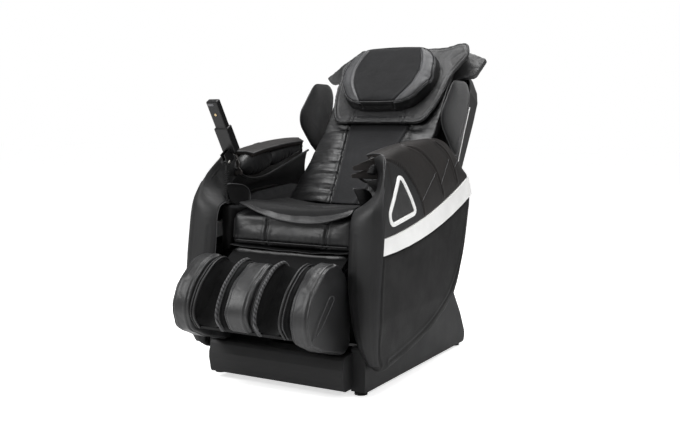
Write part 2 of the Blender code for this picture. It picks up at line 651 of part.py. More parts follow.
def back_frame():
    """Two rails with cross tubes, the recline pins, and the lever that the actuator pushes."""
    frame = settle(box("back_frame", (RAIL_IN, -0.014, -0.020), (RAIL_OUT, 0.014, RAIL_TOP)), BACK, STEEL,
                   in_chair_frame=False)
    pieces = [box("back_rail_right", (-RAIL_OUT, -0.014, -0.020), (-RAIL_IN, 0.014, RAIL_TOP)),
              box("back_cross_low", (-RAIL_IN - 0.01, -0.012, 0.012), (RAIL_IN + 0.01, 0.012, 0.040)),
              box("back_cross_high", (-RAIL_IN - 0.01, -0.012, RAIL_TOP - 0.040),
                  (RAIL_IN + 0.01, 0.012, RAIL_TOP - 0.010))]
    for name, side in SIDES:
        pieces.append(bar(f"recline_pin_{name}", (side * 0.210, 0, 0), (side * 0.236, 0, 0), PIN_RADIUS, 20))
    angle = math.radians(RECLINE_SWING / 2 + BACK_LEAN)
    tip = (RECLINE_LEVER * math.sin(angle), -RECLINE_LEVER * math.cos(angle))
    pieces += lever("recline_lever", (0.0, 0.024), tip, RECLINE_X)
    return join(frame, *pieces)


def back_shell():
    """The moulded tub behind the back: its open side faces the carriage."""
    corners = [(0.250, 0.045, 0.03), (0.250, 0.200, 0.05), (SHOULDER_HALF, 0.350, 0.05),
               (SHOULDER_HALF, 0.700, 0.10), (0.250, 0.810, 0.06)]
    mirrored = [(-x, z, r) for x, z, r in reversed(corners)]
    outline = rounded(corners + mirrored)
    shell = plate("back_shell", [outline], SHELL_FRONT, SHELL_REAR, "Y")
    settle(shell, BACK, PLASTIC, in_chair_frame=False)
    hollow = plate("shell_hollow", [inset(outline, SHELL_WALL)], SHELL_FRONT - 0.02,
                   SHELL_REAR - SHELL_WALL, "Y")
    slope = [(SHELL_REAR + 0.02, 0.0), (0.082, 0.0), (0.092, 0.300), (SHELL_REAR + 0.001, 0.600),
             (SHELL_REAR + 0.02, 0.600)]
    inner_slope = [(y - SHELL_WALL, z) for y, z in slope]
    cut(hollow, plate("hollow_slope", [inner_slope], -0.400, 0.400))
    cut(shell, hollow, plate("shell_slope", [slope], -0.400, 0.400))
    soften(shell, 0.003, 1)


def back_soft_parts():
    """Cushion, shoulder wings, head cover with its side flaps, and the head pad that carries the pillow."""
    profile = smooth([(-0.205, 0.064), (-0.1445, 0.237), (-0.0895, 0.440), (-0.0695, 0.600),
                      (-0.0395, 0.800)], 2)
    rear = [(-0.018, 0.800), (-0.052, 0.620), (-0.056, 0.420), (-0.053, 0.030), (-0.088, 0.030), (-0.094, 0.112),
            (-0.102, 0.124)]
    cushion = plate("back_cushion", [profile + rear], -BACK_HALF, BACK_HALF)
    settle(cushion, BACK, LEATHER, in_chair_frame=False)
    wing = rounded([(-0.200, 0.425, 0.03), (-0.150, 0.620, 0.04), (-0.010, 0.690, 0.04), (0.014, 0.600, 0.01),
                    (0.014, 0.380, 0.02), (-0.060, 0.395, 0.03)])
    for name, side in SIDES:
        low, high = spread(side, 0.296, 0.328)
        settle(plate(f"shoulder_wing_{name}", [wing], low, high), BACK, FABRIC, in_chair_frame=False)
    flaps = rounded([(0.250, 0.712, 0.03), (0.322, 0.732, 0.02), (0.356, 0.822, 0.008), (0.280, 0.838, 0.04),
                     (0.235, 0.856, 0.02), (-0.235, 0.856, 0.02), (-0.282, 0.822, 0.04), (-0.368, 0.752, 0.008),
                     (-0.340, 0.722, 0.02), (-0.250, 0.712, 0.03)])
    cover = plate("head_cover", [flaps], -0.014, 0.010, "Y")
    settle(cover, BACK, LEATHER, in_chair_frame=False)


HEAD_HINGE = (0.004, 0.884)


def head_parts():
    """The head pad hangs from the top of the back by a hinge line; the pillow is sewn to it."""
    hinge = empty("head_pad_hinge", (0.0, *HEAD_HINGE), BACK)
    half = [(0.195, 0.462, 0.05), (0.236, 0.560, 0.20), (0.250, 0.700, 0.10), (0.300, 0.800, 0.04),
            (0.275, 0.868, 0.03), (0.190, 0.840, 0.04)]
    outline = rounded(half + [(-x, z, r) for x, z, r in reversed(half)])
    pad = settle(plate("head_pad", [outline], -0.020, 0.0, "Y"), hinge, LEATHER, in_chair_frame=False)
    pad.matrix_parent_inverse = Matrix.Translation((0.0, *HEAD_HINGE)).inverted()
    lean = math.radians(8.6)
    pad.rotation_euler = (-lean, 0.0, 0.0)
    pad.location = (0.0, -0.0915 - 0.462 * math.sin(lean), 0.462 * (1 - math.cos(lean)))
    pillow_outline = rounded([(0.140, 0.522, 0.10), (0.214, 0.640, 0.10), (0.195, 0.800, 0.09), (-0.195, 0.800, 0.09),
                              (-0.214, 0.640, 0.10), (-0.140, 0.522, 0.10)])
    pillow = plate("head_pillow", [pillow_outline], -0.076, -0.020 - GAP, "Y")
    settle(pillow, hinge, FABRIC, in_chair_frame=False)
    pillow.matrix_parent_inverse = pad.matrix_parent_inverse
    pillow.rotation_euler = pad.rotation_euler
    pillow.location = pad.location


# ---------------------------------------------------------------- massage carriage, about its own centre
ARM_SHAFT_Y = -0.006
ROLLER_UP = 0.080
ROLLER_Y = -0.022
ROLLER_RADIUS = 0.022
ROLLER_ARM_X = 0.070


def massage_carriage():
    frame = settle(box("massage_carriage", (-0.150, 0.022, -0.042), (0.150, 0.080, 0.042)), CARRIAGE, STEEL,
                   in_chair_frame=False)
    pieces = [bar("carriage_shaft", (-0.105, ARM_SHAFT_Y, 0), (0.105, ARM_SHAFT_Y, 0), 0.006, 12)]
    for name, side in SIDES:
        low, high = spread(side, 0.098, 0.108)
        pieces.append(box(f"shaft_lug_{name}", (low, ARM_SHAFT_Y - 0.010, -0.012), (high, 0.030, 0.012)))
        low, high = spread(side, 0.145, RAIL_IN - 0.003)
        pieces.append(box(f"carriage_guide_{name}", (low, -0.010, -0.036), (high, 0.060, 0.036)))
    join(frame, *pieces)
    for name, side in SIDES:
        x = side * ROLLER_ARM_X
        pivot = empty(f"roller_arm_pivot_{name}", (x, ARM_SHAFT_Y, 0), CARRIAGE)
        outline = [(-0.010, -0.014), (0.010, -0.014), (0.010, 0.020),
                   (ROLLER_Y - ARM_SHAFT_Y + 0.009, ROLLER_UP + 0.008),
                   (ROLLER_Y - ARM_SHAFT_Y - 0.007, ROLLER_UP + 0.008), (-0.012, 0.030)]
        arm = plate(f"roller_arm_{name}", [outline], -0.006, 0.006)
        settle(arm, pivot, STEEL, in_chair_frame=False)
        end = (ROLLER_Y - ARM_SHAFT_Y, ROLLER_UP)
        join(arm, bar(f"roller_stub_{name}", (0, *end), (side * 0.034, *end), 0.004, 12))
        cut(arm, bar(f"arm_bore_{name}", (-0.02, 0, 0), (0.02, 0, 0), 0.0072, 12))
        axle = empty(f"roller_axle_{name}", (side * 0.020, *end), pivot)
        roller = bar(f"massage_roller_{name}", (-0.0125, 0, 0), (0.0125, 0, 0), ROLLER_RADIUS, 20)
        settle(roller, axle, RUBBER, in_chair_frame=False)
        cut(roller, bar(f"roller_bore_{name}", (-0.03, 0, 0), (0.03, 0, 0), 0.0047, 12))


# ---------------------------------------------------------------- calf rest, in the leg's own frame
CALF_PROFILE = [(-0.020, 0.402, 0.020), (-0.070, 0.448, 0.030), (-0.150, 0.440, 0.050), (-0.236, 0.366, 0.060),
                (-0.266, 0.288, 0.050), (-0.244, 0.214, 0.045), (-0.165, 0.176, 0.050), (-0.030, 0.140, 0.020),
                (0.008, 0.168, 0.020), (0.008, 0.310, 0.040)]   # in Y and Z, as it hangs at rest
TRAY_HALF = LEG_HALF - LEG_BAND - GAP
TRAY_FRONT, TRAY_REAR = -0.090, -0.070
TRAY_BAR_X = 0.120


def leg_frame():
    """Hinge tube, two bars behind the tray and the lever that the actuator pushes."""
    frame = bar("leg_frame", (-0.214, 0, 0), (0.214, 0, 0), 0.014, 16)
    settle(frame, LEG, STEEL, in_chair_frame=False)
    pieces = []
    for name, side in SIDES:
        pieces.append(bar(f"leg_pin_{name}", (side * 0.205, 0, 0), (side * 0.236, 0, 0), PIN_RADIUS, 20))
        low, high = spread(side, TRAY_BAR_X - 0.012, TRAY_BAR_X + 0.012)
        pieces.append(box(f"tray_bar_{name}", (low, TRAY_REAR + GAP, -0.260),
                          (high, TRAY_REAR + 0.012, -0.066)))
        reach = [(0.009, -0.004), (-0.009, 0.004), (TRAY_REAR + 0.001, -0.067), (TRAY_REAR + 0.011, -0.086)]
        pieces.append(plate(f"tray_arm_{name}", [reach], low + 0.002, high - 0.002))
    angle = math.radians(LEG_SWING / 2 + LEG_LEAN)
    tip = (LEG_LEVER * math.sin(angle), -LEG_LEVER * math.cos(angle))
    pieces += lever("leg_lever", (0.0, 0.0), tip, LEG_X, root=0.012)
    return join(frame, *pieces)


def calf_unit():
    """Tray, three dividing pads and the four air cells that line the two calf wells."""
    settle(box("leg_tray", (-TRAY_HALF, TRAY_FRONT, -0.300), (TRAY_HALF, TRAY_REAR, -0.060)), LEG, PLASTIC,
           in_chair_frame=False)
    outline = rounded(CALF_PROFILE)
    for name, side in SIDES:
        low, high = spread(side, LEG_HALF - LEG_BAND, LEG_HALF)
        settle(plate(f"calf_pad_{name}", [outline], low, high), LEG, LEATHER)
    centre = rounded([(TRAY_FRONT - GAP, -0.058, 0.004), (-0.150, -0.075, 0.04), (-0.186, -0.190, 0.08),
                      (-0.166, -0.290, 0.05), (TRAY_FRONT - GAP, -0.312, 0.01)])
    middle = plate("calf_pad_centre", [centre], -LEG_CENTRE_HALF, LEG_CENTRE_HALF)
    settle(middle, LEG, LEATHER, in_chair_frame=False)
    cell = rounded([(TRAY_FRONT - GAP, -0.050, 0.004), (-0.126, -0.054, 0.03), (-0.166, -0.110, 0.05),
                    (-0.180, -0.195, 0.08), (-0.156, -0.290, 0.045), (TRAY_FRONT - GAP, -0.310, 0.01)])
    for name, side in SIDES:
        low, high = spread(side, LEG_CENTRE_HALF + 0.002, LEG_CENTRE_HALF + CELL_THICK)
        settle(plate(f"calf_cell_inner_{name}", [cell], low, high), LEG, FABRIC, in_chair_frame=False)
        outer = LEG_HALF - LEG_BAND - 0.002
        low, high = spread(side, outer - CELL_THICK + 0.002, outer)
        settle(plate(f"calf_cell_outer_{name}", [cell], low, high), LEG, FABRIC, in_chair_frame=False)


# ---------------------------------------------------------------- remote control
HOLDER_Y = 0.046           # the holder's middle, behind the tilt pin


def remote_parts():
    """A stand that swivels on the arm, a holder that tilts on it, the handset and its one large button."""
    foot_z = 0.6035
    turn = empty("stand_axis", (STAND_X, STAND_Y, foot_z), CHAIR)
    stand = bar("remote_stand", (STAND_X, STAND_Y, foot_z), (STAND_X, STAND_Y, STAND_TOP - 0.004), 0.0055, 16)
    settle(stand, turn, PLASTIC)
    join(stand, bar("stand_foot", (STAND_X, STAND_Y, foot_z), (STAND_X, STAND_Y, foot_z + 0.008), 0.015, 16),
         bar("stand_eye", (STAND_X - 0.005, STAND_Y, STAND_TOP), (STAND_X + 0.005, STAND_Y, STAND_TOP),
             0.010, 16))
    cut(stand, bar("eye_bore", (STAND_X - 0.02, STAND_Y, STAND_TOP), (STAND_X + 0.02, STAND_Y, STAND_TOP),
                   0.0042, 12))
    middle = HOLDER_Y
    holder = box("remote_holder", (-0.029, middle - 0.016, 0.018), (0.029, middle + 0.016, 0.118))
    settle(holder, REMOTE, PLASTIC, in_chair_frame=False)
    soften(holder, 0.004)
    arms = [box(f"holder_cheek_{name}", (min(side * 0.006, side * 0.010), -0.008, -0.008),
                (max(side * 0.006, side * 0.010), middle - 0.010, 0.034)) for name, side in SIDES]
    join(holder, *arms, bar("holder_pin", (-0.013, 0, 0), (0.013, 0, 0), 0.0034, 12))
    cut(holder, box("holder_pocket", (-0.0245, middle - 0.0125, 0.026), (0.0245, middle + 0.0125, 0.160)),
        box("holder_window", (-0.018, middle + 0.008, 0.050), (0.018, middle + 0.030, 0.160)))
    lift = empty("handset_seat", (0, middle, 0.027), REMOTE)
    handset = box("remote_handset", (-0.0235, -0.0115, 0.0), (0.0235, 0.0115, 0.196))
    settle(handset, lift, PLASTIC, in_chair_frame=False)
    soften(handset, 0.004)
    cut(handset, bar("button_seat", (0, 0.008, 0.120), (0, 0.030, 0.120), 0.0092, 16))
    press = empty("button_axis", (0, 0.0105, 0.120), lift)
    button = bar("remote_button", (0, -0.001, 0), (0, 0.0030, 0), 0.0086, 16)
    settle(button, press, SILVER, in_chair_frame=False)


base_frame()
base_covers()
feet_and_wheels()
power_parts()
actuators()
seat_frame()
seat_soft_parts()
for arm_name, arm_side in SIDES:
    arm_shell(arm_name, arm_side)
    arm_ring(arm_name, arm_side)
    arm_pads(arm_name, arm_side)
back_frame()
back_shell()
back_soft_parts()
head_parts()
massage_carriage()
leg_frame()
calf_unit()
remote_parts()
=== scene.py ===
import math

import bmesh
import bpy
import numpy as np
from mathutils import Matrix, Vector, noise
from mathutils.bvhtree import BVHTree
from mathutils.kdtree import KDTree


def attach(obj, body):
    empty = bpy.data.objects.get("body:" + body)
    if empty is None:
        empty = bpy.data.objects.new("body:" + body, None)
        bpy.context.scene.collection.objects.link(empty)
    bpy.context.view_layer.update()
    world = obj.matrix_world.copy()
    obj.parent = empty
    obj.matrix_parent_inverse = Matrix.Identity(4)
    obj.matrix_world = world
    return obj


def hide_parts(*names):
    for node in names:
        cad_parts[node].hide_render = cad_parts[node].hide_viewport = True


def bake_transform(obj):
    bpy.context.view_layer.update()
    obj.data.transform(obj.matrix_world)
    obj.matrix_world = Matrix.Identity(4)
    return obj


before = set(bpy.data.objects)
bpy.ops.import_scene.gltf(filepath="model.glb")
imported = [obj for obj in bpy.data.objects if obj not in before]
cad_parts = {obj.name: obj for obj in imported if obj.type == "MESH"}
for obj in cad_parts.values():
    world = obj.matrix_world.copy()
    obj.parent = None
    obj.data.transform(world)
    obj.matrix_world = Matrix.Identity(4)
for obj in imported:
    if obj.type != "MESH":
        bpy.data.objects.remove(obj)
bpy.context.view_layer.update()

# Metres. Shapes are written in the frame that the CAD is written in, whose Y is 0 at the base's front feet.
CENTRE_Y = 0.3899
SIDES = (("left", 1), ("right", -1))
X, Y, Z = Vector((1, 0, 0)), Vector((0, 1, 0)), Vector((0, 0, 1))
BLACK, ARM_BLACK, FABRIC = "black_leather", "arm_leather", "black_fabric"
PLASTIC, WHITE, SILVER = "black_plastic", "white_gloss", "silver_plastic"
WELD = 1e-5          # CAD points closer than this are one point


# ---------------------------------------------------------------- frames
def chair(x, y, z):
    return Vector((x, y - CENTRE_Y, z))


def leaning(origin, lean, x0=0.0):
    """A frame that leans by this many degrees towards +Y, its origin at (Y, Z)."""
    s, c = math.sin(math.radians(lean)), math.cos(math.radians(lean))

    def place(x, y, z):
        return chair(x0 + x, origin[0] + z * s + y * c, origin[1] + z * c - y * s)
    return place


back = leaning((0.56, 0.43), 29.0)
leg = leaning((0.035, 0.40), 40.0)
remote = leaning((0.065, 0.750), -31.0, -0.275)
HEAD_LEAN = math.radians(8.6)


def head(x, y, z):
    """The head pad's frame: it leans a little more than the back, about its own lower edge."""
    s, c = math.sin(HEAD_LEAN), math.cos(HEAD_LEAN)
    return back(x, y * c + z * s - 0.0915 - 0.462 * s, z * c - y * s + 0.462 * (1 - c))


def way(place, x, y, z):
    """A direction given in a frame, in the world."""
    return (place(x, y, z) - place(0, 0, 0)).normalized()


# ---------------------------------------------------------------- materials
class Shader:
    """A Principled material, and short calls for the nodes that feed it."""

    def __init__(self, name, **values):
        self.mat = bpy.data.materials.new(name)
        self.mat.use_nodes = True
        self.tree = self.mat.node_tree
        self.out = self.tree.nodes["Principled BSDF"]
        for socket, value in values.items():
            self.out.inputs[socket.replace("_", " ")].default_value = value
        self.where = self.node("ShaderNodeTexCoord").outputs["Object"]

    def node(self, kind, links=(), **props):
        made = self.tree.nodes.new(kind)
        for key, value in props.items():
            setattr(made, key, value)
        for socket, value in dict(links).items():
            self.put(made.inputs[socket], value)
        return made

    def put(self, socket, value):
        if isinstance(value, bpy.types.NodeSocket):
            self.tree.links.new(value, socket)
        else:
            socket.default_value = value

    def noise(self, scale, detail=4.0, rough=0.55, stretch=None, distortion=0.0):
        where = self.where
        if stretch:
            where = self.node("ShaderNodeMapping", {"Vector": where, "Scale": stretch}).outputs[0]
        return self.node("ShaderNodeTexNoise", {"Vector": where, "Scale": scale, "Detail": detail,
                                                "Roughness": rough, "Distortion": distortion}).outputs["Fac"]

    def cells(self, scale, randomness=1.0):
        return self.node("ShaderNodeTexVoronoi", {"Vector": self.where, "Scale": scale,
                                                  "Randomness": randomness}).outputs["Distance"]

    def ramp(self, fac, *stops):
        made = self.node("ShaderNodeValToRGB", {"Fac": fac})
        ends = made.color_ramp.elements
        for index, (place, colour) in enumerate(stops):
            stop = ends[index] if index < 2 else ends.new(place)
            stop.position = place
            stop.color = (*colour, 1.0) if isinstance(colour, tuple) else (colour, colour, colour, 1.0)
        return made.outputs["Color"]

    def map(self, value, low, high, to_low, to_high):
        return self.node("ShaderNodeMapRange", {"Value": value, "From Min": low, "From Max": high,
                                                "To Min": to_low, "To Max": to_high}).outputs[0]

    def math(self, operation, a, b=0.0):
        return self.node("ShaderNodeMath", {0: a, 1: b}, operation=operation).outputs[0]

    def mix(self, fac, a, b, blend="MIX"):
        made = self.node("ShaderNodeMix", data_type="RGBA", blend_type=blend)
        for socket, value in ((0, fac), (6, a), (7, b)):
            self.put(made.inputs[socket], (*value, 1.0) if isinstance(value, tuple) else value)
        return made.outputs[2]

    def bump(self, height, distance, strength=1.0, under=None):
        links = {"Height": height, "Distance": distance, "Strength": strength}
        if under is not None:
            links["Normal"] = under
        return self.node("ShaderNodeBump", links).outputs[0]

    def finish(self, colour=None, roughness=None, normal=None):
        for socket, value in (("Base Color", colour), ("Roughness", roughness), ("Normal", normal)):
            if value is not None:
                self.put(self.out.inputs[socket], value)
        return self.mat


def leather(name, dark, light, rough=(0.34, 0.50), crease=0.0007, cell=780.0, gloss=0.42, coat=0.05):
    """Grained leather: pores over pebbled cells, soft creases, uneven tone, shinier patches and a painted highlight on
    its convex edges.
    """
    s = Shader(name, Coat_Weight=coat, Coat_Roughness=0.32, Specular_IOR_Level=gloss)
    tone = s.noise(9.0, 5.0)
    cells = s.cells(cell)
    creases = s.noise(34.0, 6.0, 0.62, (1.0, 1.0, 1.6), 1.2)
    valley = s.map(cells, 0.0, 0.62, 0.0, 1.0)
    colour = s.ramp(tone, (0.34, dark), (0.68, light))
    colour = s.mix(s.math("MULTIPLY", valley, 0.28), colour, (0.0015, 0.0015, 0.0016))
    # Painted highlight: the colour is lightened on convex edges and ridges, where light catches them.
    edge_highlight = s.map(s.node("ShaderNodeNewGeometry").outputs["Pointiness"], 0.505, 0.60, 0.0, 0.35)
    colour = s.mix(edge_highlight, colour, tuple(2.6 * c for c in light))
    shine = s.math("ADD", s.map(tone, 0.3, 0.7, rough[0], rough[1]),
                   s.math("MULTIPLY", s.noise(240.0, 2.0), 0.08))
    low = s.bump(creases, crease, 0.9)
    return s.finish(colour, shine, s.bump(s.math("SUBTRACT", 1.0, cells), 0.00022, 0.75, low))


def cloth(name, dark, light, pitch=0.0011, rough=0.9, sheen=0.25):
    """A knitted or woven cover: a fine lattice of loops, with a soft nap."""
    s = Shader(name, Sheen_Weight=sheen, Sheen_Roughness=0.45, Specular_IOR_Level=0.22)
    loops = s.cells(1.0 / pitch, 0.12)
    nap = s.noise(420.0, 3.0)
    tone = s.noise(14.0, 4.0)
    colour = s.ramp(tone, (0.3, dark), (0.7, light))
    colour = s.mix(s.map(loops, 0.1, 0.6, 0.0, 0.55), colour, (0.001, 0.001, 0.0012))
    low = s.bump(nap, 0.00035, 0.6)
    return s.finish(colour, s.map(nap, 0.3, 0.7, rough - 0.08, min(1.0, rough + 0.06)),
                    s.bump(s.math("SUBTRACT", 1.0, loops), 0.0004, 0.8, low))


def moulded(name, dark, light, rough=(0.42, 0.58), grain=900.0, depth=0.00012, **values):
    """Moulded plastic with a spark-eroded grain, faint flow marks and rubbed patches."""
    s = Shader(name, **{"Specular_IOR_Level": 0.32, **values})
    fine, broad = s.noise(grain, 3.0), s.noise(7.0, 3.0)
    colour = s.ramp(broad, (0.35, dark), (0.65, light))
    colour = s.mix(s.map(s.noise(60.0, 8.0, 0.7), 0.62, 0.74, 0.0, 0.22), colour, tuple(1.8 * c for c in light))
    return s.finish(colour, s.map(broad, 0.3, 0.7, *rough), s.bump(fine, depth, 0.7))


def painted(name, dark, light):
    """Powder-coated steel: orange peel, darker pits, a little bare metal at knocks."""
    s = Shader(name, Metallic=0.35)
    peel, pits = s.noise(260.0, 2.0), s.cells(340.0)
    colour = s.ramp(s.noise(12.0), (0.35, dark), (0.65, light))
    colour = s.mix(s.map(s.noise(95.0, 9.0, 0.75), 0.69, 0.73, 0.0, 0.5), colour, (0.20, 0.19, 0.18))
    low = s.bump(peel, 0.0003, 0.6)
    return s.finish(colour, s.map(peel, 0.3, 0.7, 0.38, 0.55), s.bump(pits, 0.0001, 0.5, low))


def drawn_metal(name, dark, light, stretch=(1.0, 0.03, 1.0), rough=(0.20, 0.36)):
    """Bright drawn or plated metal, with fine marks along its length."""
    s = Shader(name, Metallic=1.0)
    marks = s.noise(1400.0, 3.0, 0.6, stretch)
    colour = s.ramp(s.math("MULTIPLY", s.math("ADD", marks, s.noise(20.0)), 0.5), (0.35, dark), (0.65, light))
    return s.finish(colour, s.map(marks, 0.3, 0.7, *rough), s.bump(marks, 0.00006, 0.6))


def perforated(name):
    """Black synthetic with a grid of punched holes."""
    s = Shader(name)
    holes = s.cells(230.0, 0.0)
    edge = s.map(holes, 0.20, 0.27, 0.0, 1.0)
    colour = s.mix(edge, (0.0008, 0.0008, 0.0009), s.ramp(s.noise(30.0), (0.35, 0.010), (0.65, 0.019)))
    low = s.bump(s.noise(900.0), 0.0001, 0.5)
    return s.finish(colour, s.map(s.noise(60.0), 0.3, 0.7, 0.48, 0.62), s.bump(edge, 0.0008, 0.9, low))


def ribbed(name):
    """Elastic binding with slanting ribs."""
    s = Shader(name, Sheen_Weight=0.2)
    wave = s.node("ShaderNodeTexWave", {"Vector": s.where, "Scale": 34.0, "Distortion": 0.3, "Detail": 1.0},
                  bands_direction="DIAGONAL").outputs["Fac"]
    colour = s.ramp(wave, (0.35, (0.004, 0.004, 0.0045)), (0.62, (0.042, 0.042, 0.045)))
    low = s.bump(s.noise(700.0), 0.0002, 0.6)
    return s.finish(colour, s.map(wave, 0.0, 1.0, 0.85, 0.6), s.bump(wave, 0.0009, 0.8, low))


LOOKS = {
    "leather": leather("leather", (0.0045, 0.0046, 0.0050), (0.0092, 0.0093, 0.0100)),
    "pad_leather": leather("pad_leather", (0.0050, 0.0051, 0.0055), (0.0110, 0.0111, 0.0119), (0.32, 0.50),
                           0.0005, 900.0, 0.50, 0.10),
    "grey_leather": leather("grey_leather", (0.026, 0.0265, 0.028), (0.048, 0.0485, 0.052), (0.40, 0.56),
                            0.0005, 900.0),
    "arm_leather": leather("arm_leather_look", (0.0085, 0.0070, 0.0064), (0.0150, 0.0122, 0.0110), (0.40, 0.56),
                           0.0005, 700.0, 0.26, 0.02),
    "panel_leather": leather("panel_leather", (0.0040, 0.0038, 0.0040), (0.0080, 0.0077, 0.0079), (0.46, 0.62),
                             0.0004, 650.0, 0.16, 0.0),
    "front_leather": leather("front_leather", (0.0050, 0.0050, 0.0054), (0.0100, 0.0100, 0.0106), (0.40, 0.56),
                             0.0004, 720.0, 0.36, 0.03),
    "bib_leather": leather("bib_leather", (0.0085, 0.0086, 0.0092), (0.0175, 0.0177, 0.0188), (0.36, 0.54),
                           0.0005, 900.0, 0.42, 0.05),
    "cloth": cloth("knit", (0.0042, 0.0042, 0.0048), (0.0085, 0.0086, 0.0096)),
    "cell_cloth": cloth("cell_knit", (0.0010, 0.0010, 0.0011), (0.0024, 0.0024, 0.0027), 0.0014, 0.94, 0.04),
    "strip_cloth": cloth("strip_knit", (0.0120, 0.0122, 0.0134), (0.0200, 0.0203, 0.0222), 0.0012, 0.88, 0.10),
    "pillow_cloth": cloth("pillow_knit", (0.0080, 0.0082, 0.0090), (0.0140, 0.0142, 0.0156), 0.0012, 0.88,
                          0.08),
    "lining": cloth("lining_knit", (0.0026, 0.0026, 0.0029), (0.0052, 0.0052, 0.0058), 0.0013, 0.92, 0.06),
    "plastic": moulded("moulded_black", (0.0060, 0.0061, 0.0065), (0.0105, 0.0106, 0.0112)),
    "base_plastic": moulded("moulded_base", (0.0075, 0.0075, 0.0079), (0.0140, 0.0140, 0.0146), (0.50, 0.66),
                            620.0, 0.00022),
    "shell_plastic": moulded("moulded_shell", (0.0070, 0.0069, 0.0070), (0.0130, 0.0128, 0.0130), (0.34, 0.48),
                             700.0),
    "white": moulded("gloss_white", (0.78, 0.78, 0.77), (0.88, 0.88, 0.87), (0.16, 0.26), 160.0, 0.00006,
                     Coat_Weight=0.4, Coat_Roughness=0.08),
    "steel": painted("coated_steel", (0.010, 0.010, 0.011), (0.020, 0.020, 0.022)),
    "bright": drawn_metal("bright_rod", (0.42, 0.42, 0.43), (0.62, 0.62, 0.63)),
    "silver": drawn_metal("silver_part", (0.50, 0.49, 0.46), (0.70, 0.68, 0.64), (1.0, 1.0, 1.0), (0.28, 0.42)),
    "rubber": moulded("moulded_rubber", (0.0060, 0.0060, 0.0062), (0.0110, 0.0110, 0.0112), (0.78, 0.92), 500.0,
                      0.0003),
    "holes": perforated("perforated"),
    "ribs": ribbed("elastic_ribs"),
    "thread": moulded("thread", (0.016, 0.016, 0.017), (0.030, 0.030, 0.032), (0.6, 0.75), 1500.0, 0.00008),
    "piping": leather("piping_leather", (0.018, 0.018, 0.019), (0.038, 0.038, 0.040), (0.38, 0.5), 0.0002,
                      1100.0),
    "light_piping": leather("light_piping", (0.085, 0.085, 0.088), (0.15, 0.15, 0.155), (0.40, 0.52), 0.0002,
                            1100.0),
    "boomerang_thread": leather("boomerang_thread", (0.045, 0.045, 0.047), (0.080, 0.080, 0.083), (0.40, 0.52),
                                0.0002, 1100.0),
    "remote_plastic": moulded("remote_plastic", (0.0028, 0.0028, 0.0030), (0.0052, 0.0052, 0.0056),
                              (0.34, 0.48), 800.0),
    "brass": drawn_metal("brass_part", (0.40, 0.30, 0.16), (0.60, 0.47, 0.28), (1.0, 1.0, 1.0), (0.30, 0.44)),
    "screen": moulded("smoked_screen", (0.0020, 0.0022, 0.0026), (0.0034, 0.0037, 0.0042), (0.10, 0.18), 300.0,
                      0.00002, Coat_Weight=0.5, Coat_Roughness=0.05),
    "keys": moulded("grey_keys", (0.10, 0.10, 0.105), (0.16, 0.16, 0.165), (0.44, 0.56), 900.0, 0.00006),
}


# ---------------------------------------------------------------- meshes
def read(mesh, what):
    flat = np.empty(len(mesh.vertices) * 3)
    mesh.vertices.foreach_get(what, flat)
    return flat.reshape(-1, 3)


def coords(obj):
    return read(obj.data, "co")


def normals(obj):
    return read(obj.data, "normal")


def move_to(obj, points):
    obj.data.vertices.foreach_set("co", np.asarray(points, float).ravel())
    obj.data.update()


def shown(name, mesh, look):
    obj = bpy.data.objects.new(name, mesh)
    bpy.context.scene.collection.objects.link(obj)
    mesh.materials.clear()
    mesh.materials.append(LOOKS[look])
    return obj


def applied(obj):
    """Makes the object's modifiers part of its mesh."""
    bpy.context.view_layer.update()
    made = bpy.data.meshes.new_from_object(obj.evaluated_get(bpy.context.evaluated_depsgraph_get()))
    old, look = obj.data, list(obj.data.materials)
    obj.modifiers.clear()
    obj.data = made
    bpy.data.meshes.remove(old)
    made.materials.clear()
    for each in look:
        made.materials.append(each)
    made.shade_smooth()
    return obj


def rounded_off(obj, voxel, passes):
    """Remeshes a rough closed form and rounds its edges."""
    remesh = obj.modifiers.new("remesh", "REMESH")
    remesh.mode = "VOXEL"
    remesh.voxel_size = voxel
    smooth = obj.modifiers.new("smooth", "SMOOTH")
    smooth.factor, smooth.iterations = 0.5, passes
    return applied(obj)


def reworked(mesh, change):
    """Runs change(form) on the mesh as a bmesh."""
    form = bmesh.new()
    form.from_mesh(mesh)
    change(form)
    form.to_mesh(mesh)
    form.free()


def from_cad(name, node, look, voxel=0.005, passes=8, grow=0.0):
    """A rounded copy of a CAD solid, its skin moved out by grow."""
    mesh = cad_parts[node].data.copy()
    reworked(mesh, lambda form: bmesh.ops.remove_doubles(form, verts=form.verts, dist=WELD))
    obj = shown(name, mesh, look)
    rounded_off(obj, voxel, passes)
    if grow:
        move_to(obj, coords(obj) + normals(obj) * grow)
    return obj


def finer(obj, level=1):
    obj.modifiers.new("fine", "SUBSURF").levels = level
    return applied(obj)


FLAT = {}          # a lofted piece's width, length and area when it lies flat


def flat_size(outer):
    """Mean width and length along the rows and columns of a grid of points, and its area."""
    down, across = np.diff(outer, axis=0), np.diff(outer, axis=1)
    width = float(np.linalg.norm(across, axis=2).sum(axis=1).mean())
    length = float(np.linalg.norm(down, axis=2).sum(axis=0).mean())
    area = float(np.linalg.norm(np.cross(down[:, :-1], across[:-1]), axis=2).sum())
    return width, length, min(area, width * length)


